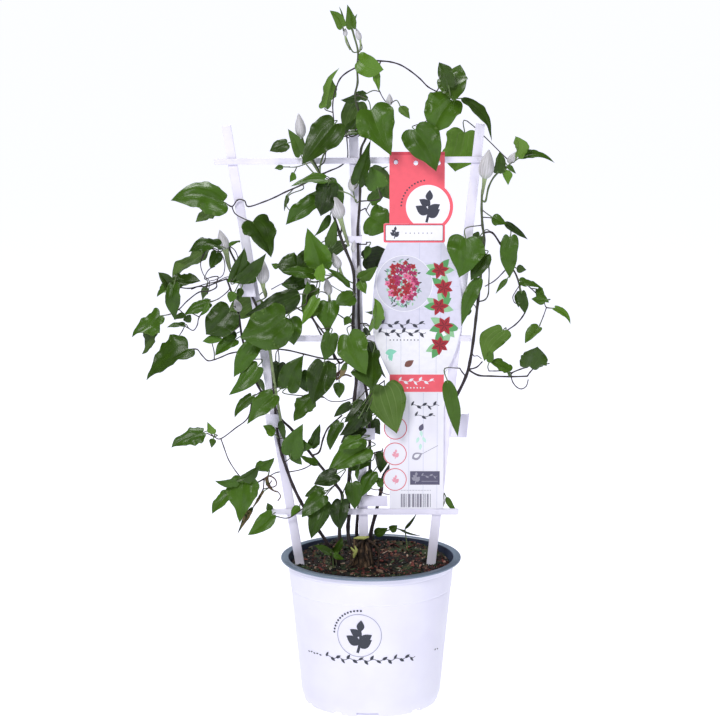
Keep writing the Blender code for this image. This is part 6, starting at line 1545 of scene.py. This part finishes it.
class Blade:
    """Where one blade lies: its base, tip, axes and bend."""

    def __init__(self, row, index, known):
        bx, bz, tx, tz, width, depth, lean, roll, fold, arch = row[:10]
        usual = (0.14 * (chance_of(index, 10) - 0.5), 0.45 * chance_of(index, 12))
        bow, self.point, self.shade, self.dry = (*(row[10:] or usual), 0.0, 0.0, 0.0)[:4]
        self.base, self.tip = seen(bx, bz, depth), seen(tx, tz, depth + lean)
        self.width, self.index = width, index
        chord = self.tip - self.base
        self.length, self.along = chord.length, chord.normalized()
        facing = SIGHT - (self.base + self.tip) * 0.5
        facing = (facing - self.along * facing.dot(self.along)).normalized()
        across, angle = self.along.cross(facing), math.radians(roll)
        self.normal = facing * math.cos(angle) + across * math.sin(angle)
        self.side = self.along.cross(self.normal)
        self.fold, self.arch = math.radians(fold), math.radians(max(arch, 4.0))
        self.wave = (0.05 + 0.05 * chance_of(index, 3)) * width
        self.phase = chance_of(index, 4)
        self.twist = math.radians(-18 + 36 * chance_of(index, 5))
        self.bow = bow * self.length
        self.droop = (0.22 * chance_of(index, 11) - 0.05) * width
        start = (self.at(0, 0.06) - self.at(0, 0.0)).normalized()
        reachable = [k for k in known if (k[0] - self.base).length > 5.0]
        self.foot, self.inside = nearest(reachable, self.base, start, 1.3)

    def at(self, h, s, lift=0.0):
        """The point h half widths out and s of the way to the tip, lifted off the middle surface."""
        bend, half = self.arch * (s - 0.5), math.sin(self.arch / 2)
        x = (math.sin(bend) + half) / (2 * half) * self.length
        y = (math.cos(bend) - math.cos(self.arch / 2)) / (2 * half) * self.length
        normal = self.along * math.sin(bend) + self.normal * math.cos(bend)
        turn = self.twist * (s - 0.4)
        side = self.side * math.cos(turn) + normal * math.sin(turn)
        normal = normal * math.cos(turn) - self.side * math.sin(turn)
        out, rise = math.cos(self.fold), math.sin(self.fold)
        a, soft = abs(h) * self.width / 2, math.sqrt(h * h + 0.0036) - 0.06
        up = soft * self.width / 2 * rise * (1.0 - 0.4 * abs(h))
        up += self.wave * h * h * math.sin(math.tau * (1.5 * s + self.phase) + (1.9 if h > 0 else 0.0))
        turn = math.tau * (4.2 * s + 2 * self.phase) + (0.7 if h > 0 else 2.6)
        up += 0.62 * self.wave * h ** 4 * math.sin(turn)
        lay = Vector((h * self.width / 34, s * self.length / 20, 3.7 * self.index))
        up += 0.26 * min(self.width, 26.0) * noise.noise(lay) * min(1.0, 0.25 + abs(h)) * min(1.0, 3 * s)
        up += 0.03 * self.width * noise.noise(2.4 * lay) * min(1.0, 0.3 + abs(h)) * min(1.0, 3 * s)
        up -= self.droop * h * h
        across = math.copysign(a * out, h) + self.bow * math.sin(math.pi * max(s, 0.0))
        return self.base + self.along * x + self.normal * y + side * across + normal * (up + lift)

    def stalk(self):
        """The stalk's path from the stem to the blade, which it reaches from behind."""
        ahead = (self.at(0, 0.06) - self.at(0, 0.0)).normalized()
        gap = self.base - self.foot
        reach = gap.length
        start = self.foot + gap * (0.2 * self.inside / reach)
        straight = gap.normalized().dot(ahead)
        if reach < 13 and straight > 0.5:
            return [start, start.lerp(self.base, 0.5) - self.normal * 0.4, self.base]
        middle = self.base - ahead * min(max(0.4 * reach, 4.0), 10.0) + Vector((0, 0, 0.05 * reach))
        if straight < 0.3:
            middle -= self.normal * math.copysign(3.0, gap.dot(self.normal))
        return [start, middle, self.base]


def outline_at(shape, share):
    """The half width, edge place and midrib place of an outline, smoothly between its points."""
    place = share * (len(shape) - 1)
    i = min(int(place), len(shape) - 2)
    rows = shape[max(i - 1, 0)], shape[i], shape[i + 1], shape[min(i + 2, len(shape) - 1)]
    return [between(*four, place - i) for four in zip(*rows)]


def grow_blade(skin, blade):
    """One blade with its raised veins below, and the stalk that it sits on."""
    big = blade.width * blade.length
    rows, cols = (26, 8) if big > 700 else (20, 6) if big > 250 else (14, 4)
    shape = HEART if blade.length > 17 and blade.width / blade.length > 0.42 else SPEAR
    high = 0.3 * max(0.0, (blade.base.z - 600.0) / 100.0)
    # A light (+) value turns the leaf young and light and a dark (-) value darkens it; for leaves deep in the
    # foliage the dark is painted shade, for the leaf behind the bars the light is painted light.
    young = (0.25 * max(0.0, 1.0 - blade.length / 26.0) + 0.12 * chance_of(blade.index, 6) + high
             + max(0.0, blade.shade))
    light = 0.02 + 0.98 * chance_of(blade.index, 7) + 0.9 * min(0.0, blade.shade)
    tint = (max(0.0, light), min(1.0, young), blade.dry, 1.0)
    tops, unders = [], []
    for i in range(rows + 1):
        share = (i / rows) ** 0.92
        width, edge, mid = outline_at(shape, share)
        late = min(1.0, max(0.0, (mid - 0.26) / 0.52))
        late = late * late * (3.0 - 2.0 * late)
        width = max(width, 0.0) * (1.0 - (0.5 if blade.point > 0.0 else 0.4) * blade.point * late)
        top_row, under_row = {}, {}
        for j in range(-cols, cols + 1):
            k = (abs(j) / cols) ** 1.35
            side = 1.0 + 0.20 * (blade.phase - 0.5) * (1 if j > 0 else -1)
            side += 0.16 * noise.noise(Vector((share * 3.2, 0.8 * j / cols, 5.1 * blade.index)))
            fine = Vector((share * blade.length / 5.0, j / cols, 2.3 * blade.index + 7.0))
            side += 0.07 * k ** 3 * noise.noise(fine)
            h, s = math.copysign(width * k * side, j), mid + (edge - mid) * k
            if i == rows:
                end = skin.point(blade.at(0.0, 1.0), tint) if j == -cols else end
                top_row[j] = under_row[j] = end
            elif abs(j) == cols:
                top_row[j] = under_row[j] = skin.point(blade.at(h, s), tint)
            else:
                body = BLADE_THICK / 2 * (1.0 - k ** 4) * min(1.0, 6 * (1.0 - share) + 0.05)
                quilt = 0.22 * math.sin(math.pi * k / 0.42) ** 2 * (1.0 - share) if k < 0.42 else 0.0
                rib = 0.42 * math.exp(-(k / 0.12) ** 2) * (1.0 - 0.8 * share)
                top_row[j] = skin.point(blade.at(h, s, body + quilt - 0.10 * rib), tint)
                under_row[j] = skin.point(blade.at(h, s, -body + 0.6 * quilt - rib), tint)
        tops.append(top_row)
        unders.append(under_row)
    for i in range(rows):
        for j in range(-cols, cols):
            cell = ((j, i), (j + 1, i), (j + 1, i + 1), (j, i + 1))
            across = [(0.5 + 0.5 * u / cols, v / rows) for u, v in cell]
            for grid, turn, slot in ((tops, 1, 0), (unders, -1, 1)):
                corners = [grid[v][u] for u, v in cell]
                count = 3 if corners[2] == corners[3] else 4
                skin.face(corners[:count][::turn], across[:count][::turn], slot)
    for j in range(-cols, cols):
        corners = list(dict.fromkeys((tops[0][j], unders[0][j], unders[0][j + 1], tops[0][j + 1])))
        if len(corners) > 2:
            skin.face(corners, [(0.5, 0.0)] * len(corners), 1)
    path = [place for place, _ in smooth_path(blade.stalk() + [blade.at(0.0, 0.05, -0.35)], 5)]
    count = len(path) - 1
    foot, neck = 0.80 * STALK, min(STALK, 0.35 * blade.width / 2)
    sizes = [(foot + (neck - foot) * i / count) * (1.25 if i == 0 else 0.9 if i < count - 2 else 0.75)
             for i in range(count + 1)]
    tube(skin, path, sizes, 6, [(*tint[:3], i / count) for i in range(count + 1)], slot=2)


def leaf_finish(name, dark, light, vein, rough, depth, strength):
    """A leaf surface: its two greens, its veins and how much they show."""
    made, tree, shader = finish_of(name, light, rough, IOR=1.4, Specular_IOR_Level=0.4)
    flat = add(tree, "SeparateXYZ", Vector=add(tree, "UVMap", uv_map="UVMap")).outputs
    own = add(tree, "SeparateColor", Color=add(tree, "Attribute", attribute_name="tint")).outputs
    place = add(tree, "TexCoord").outputs["Object"]
    half = add(tree, "Math", flat["X"], 0.5, operation="SUBTRACT")
    half = add(tree, "Math", half, operation="ABSOLUTE")
    ribs = None
    for middle, width, power in ((0.0, 0.030, 1.0), (0.235, 0.020, 0.75), (0.40, 0.016, 0.45)):
        away = add(tree, "Math", half, middle, operation="SUBTRACT")
        away = add(tree, "Math", away, operation="ABSOLUTE")
        line = add(tree, "MapRange", Value=away, From_Min=width * 0.25, From_Max=width,
                   To_Min=power, To_Max=0.0)
        ribs = line if ribs is None else add(tree, "Math", ribs, line, operation="MAXIMUM")
    fade = add(tree, "MapRange", Value=flat["Y"], From_Min=0.15, From_Max=1.0, To_Min=1.0, To_Max=0.25)
    ribs = add(tree, "Math", ribs, fade, operation="MULTIPLY")
    net = add(tree, "TexVoronoi", Vector=place, Scale=420.0, feature="DISTANCE_TO_EDGE")
    cloud = add(tree, "TexNoise", Vector=place, Scale=110.0, Detail=4.0)
    cloud = add(tree, "Math", cloud, 0.5, operation="MULTIPLY")
    # The red of the tint sets each leaf's lightness, which carries the painted shade of the darkened leaves.
    blend = add(tree, "Math", own["Red"], 0.65, cloud, operation="MULTIPLY_ADD")
    green = add(tree, "ValToRGB", Fac=blend, stops={0.15: dark, 0.95: light})
    green = add(tree, "Mix", own["Green"], green, linear("#648C28"), data_type="RGBA")
    patch = add(tree, "MapRange", Value=cloud, From_Min=0.20, From_Max=0.30)
    patch = add(tree, "Math", patch, own["Blue"], operation="ADD")
    patch = add(tree, "MapRange", Value=patch, From_Min=1.0, From_Max=1.25)
    green = add(tree, "Mix", patch, green, linear("#7A6A48"), data_type="RGBA")
    share = add(tree, "Math", ribs, strength, operation="MULTIPLY")
    veined = add(tree, "Mix", share, green, linear(vein), data_type="RGBA")
    bump = add(tree, "Bump", Strength=0.35, Distance=0.0004, Height=net)
    bump = add(tree, "Bump", Strength=0.6, Distance=depth, Height=ribs, Normal=bump)
    fill(shader, Base_Color=veined, Normal=bump)
    return made


# Leaf cuticle: a waxy satin film over green, the veins paler and sunk a little; below it is matt and
# paler, with the veins raised.
leaf_top = leaf_finish("waxy_leaf_upper_side", "#0A1400", "#416512", "#5F7C30", 0.33, -0.0003, 0.16)
leaf_under = leaf_finish("matt_leaf_underside", "#324816", "#597334", "#889E5E", 0.58, 0.0004, 0.40)
# Leaf stalks: smooth and green where they meet the blade, purple-brown near the stem.
leaf_stalk, tree, shader = finish_of("smooth_leaf_stalk", "#6F8F4E", 0.5, IOR=1.45)
own = add(tree, "Attribute", attribute_name="tint")
stalk = add(tree, "ValToRGB", Fac=own.outputs["Alpha"],
            stops={0.0: "#46383A", 0.45: "#5A6A42", 1.0: "#6E9347"})
streaks = add(tree, "TexNoise", Vector=add(tree, "TexCoord").outputs["Object"], Scale=600.0, Detail=2.0)
bump = add(tree, "Bump", Strength=0.3, Distance=0.0002, Height=streaks)
fill(shader, Base_Color=stalk, Normal=bump)

for name, rows in LEAVES.items():
    skin = Skin()
    for index, row in enumerate(rows):
        grow_blade(skin, Blade(row, index, stem_known[name]))
    leaves = skin.make(name + "_leaves", leaf_top, leaf_under, leaf_stalk, angle=75.0)
    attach(leaves, "root")
    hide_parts(name)

bpy.context.view_layer.update()
sizes = [[list(corner) for corner in box] for box in (CAD_BOX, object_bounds())]
